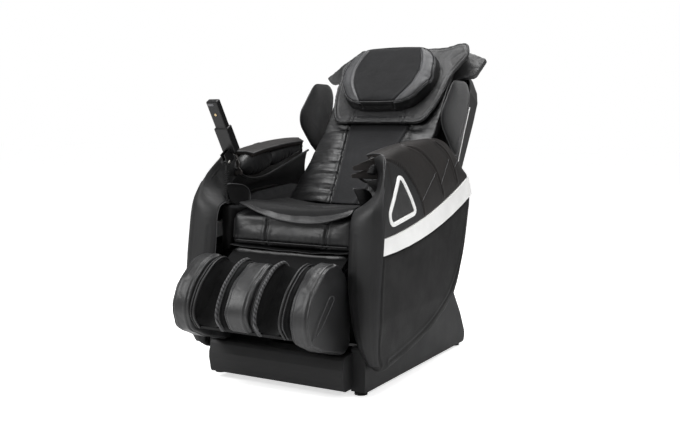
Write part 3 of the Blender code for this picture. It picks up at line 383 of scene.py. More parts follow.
def loft(name, grid, thickness, look, level=0):
    """A closed body between a grid of points and the same grid moved back by thickness along its normals."""
    rows, columns = len(grid), len(grid[0])
    outer = np.array([[tuple(p) for p in row] for row in grid])
    FLAT[name] = flat_size(outer)
    ahead, aside = np.gradient(outer, axis=0), np.gradient(outer, axis=1)
    square = np.cross(ahead, aside)
    square /= np.linalg.norm(square, axis=2, keepdims=True) + 1e-12
    thick = thickness if isinstance(thickness, float) else np.asarray(thickness)[..., None]
    inner = outer - square * thick
    points = np.concatenate([outer.reshape(-1, 3), inner.reshape(-1, 3)])
    count = rows * columns
    faces = []
    for i in range(rows - 1):
        for k in range(columns - 1):
            a, b, c, d = i * columns + k, (i + 1) * columns + k, (i + 1) * columns + k + 1, i * columns + k + 1
            faces += [(a, b, c, d), (count + d, count + c, count + b, count + a)]
    rim = list(range(columns)) + [i * columns + columns - 1 for i in range(1, rows)]
    rim += [(rows - 1) * columns + k for k in range(columns - 2, -1,
                                                    -1)] + [i * columns for i in range(rows - 2, 0, -1)]
    for i, a in enumerate(rim):
        b = rim[(i + 1) % len(rim)]
        faces.append((a, b, count + b, count + a))
    mesh = bpy.data.meshes.new(name)
    mesh.from_pydata([tuple(p) for p in points], [], faces)
    reworked(mesh, lambda form: bmesh.ops.recalc_face_normals(form, faces=form.faces))
    obj = shown(name, mesh, look)
    if level:
        finer(obj, level)
    obj.data.shade_smooth()
    return obj


def grid_of(rows, columns, place):
    """place(s, t) over a grid, s along its rows and t along its columns, both from 0 to 1."""
    return [[place(i / rows, k / columns) for k in range(columns + 1)] for i in range(rows + 1)]


def curve_through(points, step=0.003, closed=False):
    """Points every step along a Catmull-Rom curve through the given ones."""
    points = [Vector(p) for p in points]
    padded = [points[-1], *points, points[0], points[1]] if closed else [points[0], *points, points[-1]]
    dense = []
    for i in range(1, len(padded) - 2):
        p0, p1, p2, p3 = padded[i - 1:i + 3]
        pieces = max(2, int((p2 - p1).length / step))
        for piece in range(pieces):
            t = piece / pieces
            dense.append(0.5 * (2 * p1 + (p2 - p0) * t + (2 * p0 - 5 * p1 + 4 * p2 - p3) * t * t
                                + (3 * p1 - p0 - 3 * p2 + p3) * t ** 3))
    if not closed:
        dense.append(points[-1])
    return dense


def surface(obj):
    mesh = obj.data
    return BVHTree.FromPolygons([v.co for v in mesh.vertices], [p.vertices for p in mesh.polygons])


def laid(obj, points, aim, reach=0.12, closed=False, step=0.003):
    """Where a curve through the points lands on the object when it is thrown along aim: [(point, normal)]."""
    tree = surface(obj)
    aim = Vector(aim).normalized()
    found = []
    for point in curve_through(points, step, closed):
        hit, normal, _, _ = tree.ray_cast(point - aim * reach, aim, reach + 0.5)
        if hit is not None:
            found.append((hit, normal))
    return found


def near(lines):
    """A search tree over the points of several laid curves, with how far along its curve each point is."""
    points, run = [], []
    for line in lines:
        length = 0.0
        for i, (point, _) in enumerate(line):
            length += (point - line[i - 1][0]).length if i else 0.0
            points.append(point)
            run.append(length)
    tree = KDTree(len(points))
    for i, point in enumerate(points):
        tree.insert(point, i)
    tree.balance()
    return tree, run


def pressed(obj, lines, width=0.0035, depth=0.002, swell=0.0, reach=3.2):
    """Draws the surface in along curves, and lets it swell either side."""
    lines = [line for line in lines if line]
    if not lines:
        return obj
    tree, _ = near(lines)
    points, square = coords(obj), normals(obj)
    for i, point in enumerate(points):
        _, _, far = tree.find(point)
        if far < width * reach * 2:
            offset = -depth * math.exp(-(far / width) ** 2)
            offset += swell * math.exp(-((far - reach * 0.7 * width) / (width * reach * 0.5)) ** 2)
            points[i] += square[i] * offset
    move_to(obj, points)
    return obj


def gathered(obj, lines, depth, pitch, reach, seed=0.0, where=None):
    """Puckers that run square to a sewn line and die away from it."""
    tree, run = near([line for line in lines if line])
    points, square = coords(obj), normals(obj)
    for i, point in enumerate(points):
        _, index, far = tree.find(point)
        if far > 2.2 * reach or (where is not None and not where(point)):
            continue
        along = run[index] / pitch
        fold = noise.noise(Vector((along, far / (pitch * 5.0), seed)))
        fold += 0.5 * noise.noise(Vector((2.1 * along, far / (pitch * 3.0), seed + 7.3)))
        crease = 1.0 - 2.2 * abs(fold)
        points[i] += square[i] * depth * (0.6 * fold + 0.5 * crease - 0.3) * math.exp(-(far / reach) ** 2)
    move_to(obj, points)
    return obj


def crumpled(obj, size, depth, seed=0.0, stretch=(1, 1, 1), where=None):
    """Soft hollows and creases all over, as in leather over foam."""
    points, square = coords(obj), normals(obj)
    sx, sy, sz = stretch
    for i, (x, y, z) in enumerate(points):
        if where is not None and not where((x, y, z)):
            continue
        spot = Vector((x * sx, y * sy, z * sz)) / size
        value = noise.noise(spot + Vector((seed, 0, 0)))
        crease = abs(noise.noise(spot * 1.7 + Vector((0, seed, 3.1))))
        points[i] += square[i] * depth * (0.7 * value - 0.6 * max(0.0, 0.35 - crease))
    move_to(obj, points)
    return obj


def joined(name, parts, look):
    """One mesh from lists of (points, faces)."""
    points, faces = [], []
    for some, more in parts:
        start = len(points)
        points += [tuple(p) for p in some]
        faces += [tuple(start + i for i in face) for face in more]
    mesh = bpy.data.meshes.new(name)
    mesh.from_pydata(points, [], faces)
    mesh.shade_smooth()
    return shown(name, mesh, look)


def tube_faces(count, sides, closed=False):
    """The faces between a tube's rings of points, with its two ends unless it is closed."""
    faces = []
    for i in range(count if closed else count - 1):
        for k in range(sides):
            here, after, turned = i * sides, (i + 1) % count * sides, (k + 1) % sides
            faces.append((here + k, here + turned, after + turned, after + k))
    if not closed:
        faces += [tuple(range(sides - 1, -1, -1)), tuple((count - 1) * sides + k for k in range(sides))]
    return faces


def tube_of(points, radius, closed=False, sides=10, squash=1.0, up=None):
    """The points and faces of a round tube along a path; its ends are domed."""
    points = [Vector(p) for p in points]
    count = len(points)
    made, normal = [], None
    for i, point in enumerate(points):
        ahead = points[(i + 1) % count] if (closed or i < count - 1) else point
        behind = points[i - 1] if (closed or i) else point
        along = (ahead - behind).normalized()
        if up is not None:
            normal = up[i]
        elif normal is None:
            normal = along.orthogonal()
        normal = (normal - along * normal.dot(along)).normalized()
        across = along.cross(normal)
        size = radius
        if not closed and i in (0, count - 1):
            size = radius * 0.45
        for k in range(sides):
            turn = 2 * math.pi * k / sides
            made.append(point + (across * math.cos(turn) + normal * (math.sin(turn) * squash)) * size)
    return made, tube_faces(count, sides, closed)


def piping(name, body, paths, radius=0.0022, look="piping", slot=BLACK, closed=False):
    """Round edging along paths; a path is points, or (point, normal) pairs from laid()."""
    parts = []
    for path in paths:
        points = [p[0] if isinstance(p, tuple) else p for p in path]
        if len(points) > 3:
            parts.append(tube_of(points, radius, closed))
    return rides(joined(name, parts, look), body, slot)


def stitches(name, body, obj, lines, rows=(-0.0045, 0.0045), pitch=0.0052, length=0.0036, radius=0.00052,
             look="thread", slot=BLACK):
    """Rows of single stitches either side of laid curves, lying on the object's surface."""
    tree = surface(obj)
    parts = []
    for line in [line for line in lines if len(line) > 3]:
        for row in rows:
            since = 0.0
            for (before, _), (point, normal) in zip(line, line[1:]):
                since += (point - before).length
                if since < pitch:
                    continue
                since = 0.0
                along = (point - before).normalized()
                spot = point + along.cross(normal).normalized() * row
                spot, square, _, _ = tree.find_nearest(spot)
                if square.dot(normal) < 0.3:
                    continue
                across = along.cross(square).normalized()
                spot = spot + square * radius * 0.5
                ends = [spot - along * length / 2, spot + along * length / 2]
                ring = [spot + across * radius, spot + square * radius, spot - across * radius,
                        spot - square * radius]
                parts.append((ends + ring, [(0, 2 + (k + 1) % 4, 2 + k) for k in range(4)]
                              + [(1, 2 + k, 2 + (k + 1) % 4) for k in range(4)]))
    if not parts:
        raise ValueError(f"{name}: no stitch found the surface")
    return rides(joined(name, parts, look), body, slot)


THIN_FILL = 0.15     # below this fill, a lofted piece is one layer of cloth or leather


def declared(obj, fill):
    """Looks up a lofted piece's flat width, length and area when its fill is below the thin fill; nothing is done with
    them.
    """
    cut = obj.name if obj.name in FLAT else obj.name.replace("_right", "_left")
    if fill < THIN_FILL and cut in FLAT:
        width, length, area = FLAT[cut]


def rides(obj, body, slot, nodes=(), fill=None):
    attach(obj, body)
    if nodes:
        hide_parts(*nodes)
    if fill is not None:
        declared(obj, fill)
    return obj


COVER = 4, 0.25, 5.0, 0.6          # the cloth's steps, mass, and stiffness in shear and in bending


def inflated(obj, pressure=4.0, cap=0.010, held=None, shrink=0.0, frames=20, stiff=12.0, calm=10):
    """Swells a closed form as stuffing would, with Blender's cloth. held(point) says what doesn't move."""
    rest = coords(obj)
    if shrink:
        move_to(obj, rest - normals(obj) * shrink)
    start = coords(obj)
    if held is not None:
        group = obj.vertex_groups.new(name="held")
        group.add([i for i, p in enumerate(start) if held(p)], 1.0, "ADD")
    change = obj.modifiers.new("swell", "CLOTH")
    cover = change.settings
    cover.quality, cover.mass, cover.shear_stiffness, cover.bending_stiffness = COVER
    cover.tension_stiffness = cover.compression_stiffness = stiff
    cover.use_pressure, cover.uniform_pressure_force = True, pressure
    cover.effector_weights.gravity = 0.0
    if held is not None:
        cover.vertex_group_mass = "held"
    change.point_cache.frame_start, change.point_cache.frame_end = 1, frames
    scene = bpy.context.scene
    for step in range(1, frames + 1):
        scene.frame_set(step)
    graph = bpy.context.evaluated_depsgraph_get()
    swollen = bpy.data.meshes.new_from_object(obj.evaluated_get(graph))
    shift = read(swollen, "co") - rest
    obj.modifiers.clear()
    obj.vertex_groups.clear()
    bpy.data.meshes.remove(swollen)
    scene.frame_set(1)
    size = np.linalg.norm(shift, axis=1, keepdims=True)
    move_to(obj, rest + shift * np.minimum(1.0, cap / np.maximum(size, 1e-9)))
    if calm:
        smooth = obj.modifiers.new("calm", "SMOOTH")
        smooth.factor, smooth.iterations = 0.5, calm
        applied(obj)
    return obj


def repaint(look, *nodes, bevel=0.0):
    """Gives CAD nodes a finished material, and rounds their edges a little."""
    for node in nodes:
        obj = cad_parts[node]
        if not obj.material_slots:
            obj.data.materials.append(LOOKS[look])
        for each in obj.material_slots:
            each.material = LOOKS[look]
        if bevel:
            weld = obj.modifiers.new("weld", "WELD")
            weld.merge_threshold = 2 * WELD
            edge = obj.modifiers.new("edges", "BEVEL")
            edge.width, edge.segments = bevel, 2
            edge.limit_method, edge.angle_limit = "ANGLE", math.radians(35)
            edge.harden_normals = False


def both(name):
    return f"{name}_left", f"{name}_right"


def twin(obj, name, body, slot, nodes=(), fill=None):
    """The same piece on the sitter's right."""
    mesh = obj.data.copy()
    made = bpy.data.objects.new(name, mesh)
    bpy.context.scene.collection.objects.link(made)
    points = coords(obj)
    points[:, 0] *= -1
    move_to(made, points)
    reworked(mesh, lambda form: bmesh.ops.reverse_faces(form, faces=form.faces))
    mesh.shade_smooth()
    return rides(made, body, slot, nodes, fill)


def pair(obj, body, slot, node=None, fill=None):
    """Puts a left-hand piece on its body, and its twin on the right. The piece's name ends in _left."""
    nodes = both(node) if node else ((), ())
    rides(obj, body, slot, [nodes[0]] if node else (), fill)
    return obj, twin(obj, obj.name.replace("_left", "_right"), body, slot, [nodes[1]] if node else (), fill)


def mirrored(obj, body, slot=BLACK):
    """The right-hand twin of a piece that already rides on its body."""
    return twin(obj, obj.name.replace("_left", "_right"), body, slot)


def second_look(obj, look, test):
    """Another material where test(middle, normal) holds for a face."""
    obj.data.materials.append(LOOKS[look])
    index = len(obj.data.materials) - 1
    for face in obj.data.polygons:
        if test(face.center, face.normal):
            face.material_index = index


def rounded(corners, step=15.0):
    """An outline whose corners (a, b, radius) are filleted with arcs."""
    outline = []
    for index, (a, b, radius) in enumerate(corners):
        here = Vector((a, b))
        before = (Vector(corners[index - 1][:2]) - here).normalized()
        after = (Vector(corners[(index + 1) % len(corners)][:2]) - here).normalized()
        half = before.angle(after) / 2
        if radius == 0 or half > math.radians(89):
            outline.append((a, b))
            continue
        reach = radius / math.tan(half)
        centre = here + (before + after).normalized() * (radius / math.sin(half))
        first, last = here + before * reach - centre, here + after * reach - centre
        sweep = first.angle_signed(last)
        pieces = max(1, round(abs(math.degrees(sweep)) / step))
        for piece in range(pieces + 1):
            turned = first.copy()
            turned.rotate(Matrix.Rotation(-sweep * piece / pieces, 2))
            outline.append(tuple(centre + turned))
    return outline


def inset(outline, depth):
    """The outline moved inwards by depth."""
    count = len(outline)
    area = sum(outline[i][0] * outline[(i + 1) % count][1] - outline[(i + 1) % count][0] * outline[i][1]
               for i in range(count))
    turn = 1.0 if area > 0 else -1.0
    moved = []
    for i in range(count):
        here = Vector(outline[i])
        behind = (here - Vector(outline[i - 1])).normalized()
        ahead = (Vector(outline[(i + 1) % count]) - here).normalized()
        normal = Vector((-(behind + ahead).y, (behind + ahead).x)).normalized() * turn
        moved.append(tuple(here + normal * depth))
    return moved


def spaced(outline, step, closed=True):
    """The outline's points, the same distance apart."""
    points = [Vector(p) for p in outline] + ([Vector(outline[0])] if closed else [])
    lengths = [0.0]
    for a, b in zip(points, points[1:]):
        lengths.append(lengths[-1] + (b - a).length)
    count = max(8, int(lengths[-1] / step))
    where = np.linspace(0.0, lengths[-1], count + 1)[:count if closed else count + 1]
    axes = [np.interp(where, lengths, [p[i] for p in points]) for i in range(len(points[0]))]
    return [tuple(p) for p in zip(*axes)]


# ---------------------------------------------------------------- arms
CROWN = [(0.080, 0.766), (0.150, 0.787), (0.250, 0.806), (0.400, 0.824), (0.550, 0.831), (0.620, 0.822),
         (0.665, 0.798), (0.705, 0.745)]
COVER_LINES = (
    # x, part of the height up to the roof, drop below the crown, front y, rear y
    (0.380, 0.00, 0.0, -0.002, 0.702), (0.377, 0.28, 0.0, 0.008, 0.702), (0.368, 0.55, 0.0, 0.026, 0.694),
    (0.354, 0.80, 0.0, 0.058, 0.678), (0.338, 1.00, 0.028, 0.098, 0.656), (0.326, None, 0.010, 0.120, 0.625),
    (0.304, None, 0.000, 0.138, 0.590), (0.276, None, 0.001, 0.154, 0.545), (0.251, None, 0.005, 0.164, 0.520),
    (0.232, None, 0.011, 0.170, 0.510))
COVER_SEAMS = (
    [(0.016, 0.768), (0.076, 0.765), (0.164, 0.740), (0.245, 0.690), (0.315, 0.627), (0.345, 0.571)],
    [(0.163, 0.816), (0.298, 0.793), (0.399, 0.748), (0.444, 0.716), (0.492, 0.658), (0.508, 0.626)],
    [(0.412, 0.827), (0.535, 0.781), (0.602, 0.722), (0.636, 0.669)])
COVER_CREASES = ([(0.444, 0.713), (0.329, 0.617)], [(0.560, 0.758), (0.491, 0.667)],
                 [(0.650, 0.759), (0.610, 0.718)])
EYE = Vector((1.6737, -2.9189, 0.88))
RING = rounded([(-0.010, 0.538, 0.034), (0.259, 0.580, 0.020), (0.170, 0.732, 0.026)])
RING_WIDTH = 0.016


def band_high(y):
    return 0.521 + 0.06 * y + 0.245 * y * y


def cover_grid(along=170, across=7):
    """The cover's outer face, from the band up and over the roof to its inner lip."""
    curve = curve_through([(a, b, 0) for a, b in CROWN], 0.004)
    ys, zs = [p.x for p in curve], [p.y for p in curve]
    grid = []
    for i in range(along + 1):
        t = i / along
        points = []
        for x, part, drop, front, rear in COVER_LINES:
            y = front + (rear - front) * t
            crown = float(np.interp(max(y, 0.08), ys, zs))
            foot = band_high(y) + 0.0005
            points.append(chair(x, y, crown - drop if part is None else foot + (crown - 0.028 - foot) * part))
        padded = [points[0], *points, points[-1]]
        row = []
        for k in range(1, len(padded) - 2):
            p0, p1, p2, p3 = padded[k - 1:k + 3]
            for piece in range(across):
                s = piece / across
                row.append(0.5 * (2 * p1 + (p2 - p0) * s + (2 * p0 - 5 * p1 + 4 * p2 - p3) * s * s
                                  + (3 * p1 - p0 - 3 * p2 + p3) * s ** 3))
        grid.append(row + [points[-1]])
    return grid


def seen_on(tree, plane_x, points, step=0.003):
    """Points given on a plane of constant x, carried along the line of sight on to a surface."""
    found = []
    for point in curve_through([chair(plane_x, y, z) for y, z in points], step):
        aim = (point - EYE).normalized()
        hit, normal, _, _ = tree.ray_cast(point - aim * 0.2, aim, 0.6)
        if hit is not None:
            found.append((hit, normal))
    return found


def arm_covers():
    cover = loft("arm_cover_shell_left", cover_grid(), 0.0175, "arm_leather")
    tree = surface(cover)
    seams = [seen_on(tree, 0.365, line) for line in COVER_SEAMS]
    creases = [seen_on(tree, 0.365, line) for line in COVER_CREASES]
    pressed(cover, seams, 0.0034, 0.0034, 0.0016)
    pressed(cover, creases, 0.0026, 0.0020, 0.0008)
    crumpled(cover, 0.09, 0.0010, 4.0)
    divide = KDTree(len(seams[0]))
    for i, (point, _) in enumerate(seams[0]):
        divide.insert(point, i)
    divide.balance()
    second_look(cover, "front_leather", lambda c, n: c.y < divide.find(c)[0].y - 0.25 * (divide.find(c)[0].z - c.z)
                and c.x > 0.27)
    pair(cover, "seat", ARM_BLACK, "arm_cover", 0.5)
    sewn = stitches("arm_cover_stitches_left", "seat", cover, seams, (-0.0040, 0.0040))
    mirrored(piping("arm_cover_creases_left", "seat", [[p + n * 0.0002 for p, n in line] for line in creases],
                    0.0007, "keys"),
             "seat")
    twin(sewn, "arm_cover_stitches_right", "seat", BLACK)
    grid = cover_grid(60, 3)
    edge = [row[-1] for row in grid][::-1] + list(grid[0])[::-1]
    edge = curve_through(edge[::2], 0.004)
    mirrored(piping("arm_cover_rim_left", "seat", [[p + Vector((0, -0.0005, -0.002)) for p in edge[:-3]]],
                    0.0030, "piping"),
             "seat")
    return cover


ARM_FRONT = (
    # the inner edge, the middle and the outer edge of the leather that wraps the arm's front, from the floor up
    ((0.332, 0.000, 0.114), (0.350, -0.012, 0.114), (0.366, -0.002, 0.114)),
    ((0.316, -0.014, 0.150), (0.345, -0.028, 0.150), (0.373, -0.016, 0.150)),
    ((0.300, -0.024, 0.200), (0.340, -0.036, 0.200), (0.378, -0.024, 0.200)),
    ((0.288, -0.028, 0.260), (0.336, -0.042, 0.260), (0.3835, -0.028, 0.260)),
    ((0.276, -0.026, 0.340), (0.330, -0.041, 0.340), (0.3860, -0.026, 0.340)),
    ((0.2695, -0.016, 0.430), (0.325, -0.031, 0.430), (0.3870, -0.014, 0.430)),
    ((0.2695, -0.006, 0.510), (0.322, -0.021, 0.510), (0.3875, -0.002, 0.510)),
    ((0.2695, 0.000, 0.565), (0.322, -0.015, 0.565), (0.3850, 0.004, 0.560)),
    ((0.2695, 0.020, 0.599), (0.324, -0.004, 0.604), (0.3805, 0.008, 0.597)),
    ((0.271, 0.066, 0.612), (0.330, 0.020, 0.632), (0.3765, 0.016, 0.626)),
    ((0.282, 0.112, 0.630), (0.336, 0.050, 0.660), (0.3700, 0.030, 0.655)),
    ((0.291, 0.138, 0.664), (0.333, 0.078, 0.690), (0.3620, 0.048, 0.690)),
    ((0.293, 0.144, 0.706), (0.328, 0.098, 0.722), (0.3520, 0.072, 0.722)),
    ((0.290, 0.136, 0.737), (0.319, 0.112, 0.752), (0.3380, 0.096, 0.750)),
    ((0.280, 0.134, 0.770), (0.302, 0.126, 0.778), (0.3220, 0.120, 0.776)))


def arm_fronts():
    """The leather round each arm's front: up the pillar, back over its top, and up along the opening to the roof."""
    rails = [curve_through([chair(*row[k]) for row in ARM_FRONT], 0.002) for k in range(3)]
    grid = []
    for i in range(161):
        inner, middle, outer = [rail[round(i / 160 * (len(rail) - 1))] for rail in rails]
        bulge = middle * 2 - (inner + outer) / 2
        grid.append([inner * (1 - t) ** 2 + bulge * 2 * t * (1 - t) + outer * t ** 2
                     for t in [k / 16 for k in range(17)]])
    front = loft("arm_front_left", grid, 0.0055, "front_leather")
    crumpled(front, 0.08, 0.0009, 31.0)
    seam = laid(front, [grid[i][13] + Vector((0.012, -0.016, 0)) for i in range(4, 150, 4)],
                Vector((-0.6, 0.8, 0)), 0.05)
    low = laid(front, [grid[i][4] + Vector((-0.008, -0.018, 0)) for i in range(4, 96, 4)],
               Vector((0.4, 0.9, 0)), 0.05)
    pressed(front, [seam, low], 0.0030, 0.0020, 0.0008)
    pair(front, "seat", ARM_BLACK)
    mirrored(stitches("arm_front_stitches_left", "seat", front, [seam, low], (-0.0036, 0.0036)), "seat")
    mirrored(piping("arm_front_piping_left", "seat", [[row[0] for row in grid[50:]]], 0.0020, "light_piping"),
             "seat")


def trim_rings(cover):
    tree = surface(cover)

    def on_cover(outline, lift):
        found = []
        for y, z in outline:
            hit, normal, _, _ = tree.ray_cast(chair(0.45, y, z), -X, 0.4)
            if hit is None:
                hit, normal, _, _ = tree.find_nearest(chair(0.38, y, z))
            found.append((hit + normal * lift, normal))
        return found
    middle = spaced(inset(RING, RING_WIDTH / 2), 0.004)
    path = on_cover(middle, 0.0012)
    smooth = []
    for i in range(len(path)):
        smooth.append(sum((path[(i + k) % len(path)][1] for k in (-2, -1, 0, 1, 2)), Vector()).normalized())
    body = tube_of([p for p, _ in path], RING_WIDTH / 2, True, 16, 0.55, smooth)
    ring = joined("trim_ring_left", [body], "white")
    pair(ring, "seat", WHITE, "arm_ring")
    inner = spaced(inset(RING, RING_WIDTH - 0.002), 0.006)
    cy, cz = sum(p[0] for p in inner) / len(inner), sum(p[1] for p in inner) / len(inner)
    rings, faces, points = 9, [], []
    for r in range(rings):
        share = 1.0 - r / rings
        outline = [(cy + (y - cy) * share, cz + (z - cz) * share) for y, z in inner]
        points += [p for p, _ in on_cover(outline, 0.0008)]
    points += [on_cover([(cy, cz)], 0.0008)[0][0]]
    count = len(inner)
    for r in range(rings - 1):
        for k in range(count):
            a, b = r * count + k, r * count + (k + 1) % count
            faces.append((a, b, b + count, a + count))
    last = (rings - 1) * count
    faces += [(last + k, last + (k + 1) % count, rings * count) for k in range(count)]
    back_points = [p - X * 0.0012 for p in points]
    start = len(points)
    faces += [tuple(start + i for i in reversed(f)) for f in faces]
    faces += [((k + 1) % count, k, start + k, start + (k + 1) % count) for k in range(count)]
    panel = joined("ring_inset_left", [(points + back_points, faces)], "holes")
    pair(panel, "seat", FABRIC)


def arm_panels():
    panel = from_cad("arm_panel_skin_left", "arm_panel_left", "panel_leather", 0.0058, 9)
    side = [laid(panel, [chair(0.42, y, z) for y, z in line], -X) for line in (
        [(0.004, 0.455), (-0.010, 0.330), (-0.012, 0.250), (0.000, 0.150), (0.030, 0.105)],)]
    edge = [(0.720, 0.565), (0.695, 0.480), (0.655, 0.395), (0.610, 0.330), (0.545, 0.265), (0.450, 0.205),
            (0.330, 0.158), (0.200, 0.128), (0.090, 0.108)]
    side.append(laid(panel, [chair(0.42, y, z) for y, z in edge], -X))
    front = [laid(panel, [chair(x, -0.10, z) for x, z in line], Y) for line in (
        [(0.309, 0.575), (0.308, 0.480), (0.307, 0.350), (0.306, 0.250)],
        [(0.346, 0.440), (0.346, 0.350), (0.345, 0.250), (0.340, 0.170)])]
    pressed(panel, side + front, 0.0045, 0.0022, 0.0012)
    crumpled(panel, 0.16, 0.0016, 9.0)
    pair(panel, "seat", BLACK, "arm_panel", 0.3)
    mirrored(stitches("arm_panel_stitches_left", "seat", panel, side[:1] + front, (-0.0042, 0.0042)), "seat")


HAND_LOBES = (
    # y, low z, high z: one lobe after the other
    ((0.112, 0.722, 0.740), (0.132, 0.708, 0.764), (0.175, 0.696, 0.784), (0.230, 0.700, 0.794),
     (0.290, 0.716, 0.794), (0.325, 0.740, 0.778)),
    ((0.300, 0.738, 0.776), (0.335, 0.728, 0.796), (0.400, 0.742, 0.806), (0.460, 0.760, 0.812),
     (0.515, 0.776, 0.812), (0.545, 0.788, 0.806)))


PETALS = (((0.291, 0.133, 0.732), (0.281, 0.128, 0.774), (0.230, 0.078, 0.738)),
          ((0.293, 0.140, 0.700), (0.291, 0.133, 0.738), (0.222, 0.082, 0.712)))


def lobe(name, stations, x_in, x_out, look):
    """A stuffed form round a line of (y, low, high) stations, its inner face towards the sitter."""
    rail = curve_through([(y, low, high) for y, low, high in stations], 0.003)
    points, sides = [], 28
    for i, (y, low, high) in enumerate(rail):
        share = i / (len(rail) - 1)
        plump = math.sin(math.pi * share) ** 0.35 if 0 < share < 1 else 0.12
        half, mid = (high - low) / 2, (high + low) / 2
        wide, across = (x_out - x_in) / 2 * max(0.12, plump), (x_in + x_out) / 2
        for k in range(sides):
            turn = 2 * math.pi * k / sides
            c, z = math.cos(turn), math.sin(turn)
            points.append(chair(across + wide * math.copysign(abs(c) ** 0.8, c), y,
                                mid + half * math.copysign(abs(z) ** 0.8, z)))
    obj = joined(name, [(points, tube_faces(len(rail), sides))], look)
    return rounded_off(obj, 0.0036, 3)


def arm_pads():
    for number, stations in enumerate(HAND_LOBES):
        pad = lobe(f"hand_pad_{number + 1}_left", stations, 0.234, 0.302, "leather")
        inflated(pad, 4.0, 0.005, shrink=0.001)
        low = [(chair(0.240, y, z), -X) for y, z, _ in curve_through(stations, 0.003)]
        gathered(pad, [low], 0.0052, 0.016, 0.030, 3.0 + number)
        crumpled(pad, 0.030, 0.0024, 5.0 + number)
        pair(finer(pad), "seat", BLACK, "arm_hand_pad", 0.7)


def petals():
    """The loose folds of leather at the arm's front end."""
    for number, (low, high, tip) in enumerate(PETALS):
        middle = chair(*low).lerp(chair(*high), 0.5)

        def place(t, s):
            root = chair(*low).lerp(chair(*high), t)
            point = root.lerp(chair(*tip) + (root - middle) * 0.30, s ** 1.25)
            arch, ripple = math.sin(math.pi * s) * math.sin(math.pi * t), math.sin(math.pi * 3 * t) * (1 - s)
            point.z += 0.011 * arch - 0.004 * ripple
            return point
        petal = loft(f"hand_petal_{number + 1}_left", grid_of(24, 24, place), 0.0042, "arm_leather", 1)
        pair(petal, "seat", ARM_BLACK, None, 0.1)


def arm_lining():
    """The hand pads' inner rim, and the cloth that runs down from it under the roof."""
    lip = [chair(0.240, y, z) for y, z in ((0.098, 0.709), (0.154, 0.690), (0.241, 0.692), (0.330, 0.714),
                                           (0.420, 0.740), (0.500, 0.764), (0.560, 0.782))]
    top = curve_through(lip, 0.004)
    mirrored(piping("hand_pad_rim_left", "seat", [top], 0.0042, "leather"), "seat")

    def place(t, s):
        start = top[round(t * (len(top) - 1))]
        end = chair(0.288, 0.120 + 0.555 * t, 0.612 + 0.040 * math.sin(math.pi * min(1.0, t * 1.1)))
        point = start.lerp(end, s)
        point.x = 0.243 + 0.062 * math.sin(math.pi * min(1.0, s * 1.25) / 2) - 0.014 * s ** 3
        return point + X * 0.0022 * noise.noise(Vector((t * 5.0, s * 2.0, 2.4)))
    pair(loft("arm_lining_left", grid_of(60, 14, place), 0.003, "lining", 1), "seat", FABRIC, None, 0.1)


def inner_pads():
    """The pads inside the arms, and the gusset that joins each to its arm's front."""
    inner = from_cad("inner_pad_left", "arm_inner_pad_left", "panel_leather", 0.005, 12)
    inflated(inner, 3.0, 0.006, held=lambda p: p[2] < 0.46, shrink=0.001)
    crumpled(inner, 0.12, 0.0012, 11.0)
    second_look(inner, "strip_cloth", lambda c, n: n.x < -0.4 and c.z > 0.585)
    pair(inner, "seat", FABRIC, "arm_inner_pad", 0.5)
    thin = [chair(0.2515, y, z) for y, z in ((0.040, 0.672), (0.050, 0.675), (0.125, 0.667), (0.160, 0.652),
                                             (0.174, 0.630), (0.170, 0.597), (0.166, 0.580))]
    path = curve_through(thin, 0.003)
    foot = chair(0.262, 0.075, 0.606)
    gusset = loft("arm_gusset_left", [[p, p.lerp(foot, 0.5) + X * 0.004, foot] for p in path], 0.003, "lining", 1)
    pair(gusset, "seat", FABRIC, None, 0.0)
    mirrored(piping("inner_piping_left", "seat", [path], 0.0015, "light_piping"), "seat")


# ---------------------------------------------------------------- seat
def seat():
    pad = from_cad("seat_pad", "seat_cushion", "leather", 0.0052, 9)
    inflated(pad, 4.0, 0.008, held=lambda p: p[2] < 0.470, shrink=0.001, calm=8)
    finer(pad)
    seams = []
    for x in (-0.094, 0.145):
        front = [chair(x, -0.05, z) for z in (0.470, 0.500, 0.530, 0.556)]
        seams.append(laid(pad, front, Y))
        top = [chair(x, y, 0.70) for y in (0.062, 0.12, 0.20, 0.34)]
        seams.append(laid(pad, top, -Z, 0.02))
    low = [laid(pad, [chair(x, -0.05, 0.478) for x in (-0.225, -0.1, 0.0, 0.1, 0.225)], Y)]
    pressed(pad, seams, 0.0050, 0.0050, 0.0022)
    pressed(pad, low, 0.0045, 0.0030, 0.0012)
    gathered(pad, seams, 0.0026, 0.018, 0.036, 1.0)
    gathered(pad, low, 0.0022, 0.024, 0.030, 2.0)
    crumpled(pad, 0.085, 0.0020, 1.0, (1.0, 1.0, 1.6))
    rides(pad, "seat", BLACK, ["seat_cushion"], 0.75)
    stitches("seat_stitches", "seat", pad, seams + low, (-0.0040, 0.0040))
    left = laid(pad, [chair(-0.236, -0.05, z) for z in (0.486, 0.500, 0.530, 0.555)], Y)
    piping("seat_piping", "seat", [low[0], left], 0.0024)


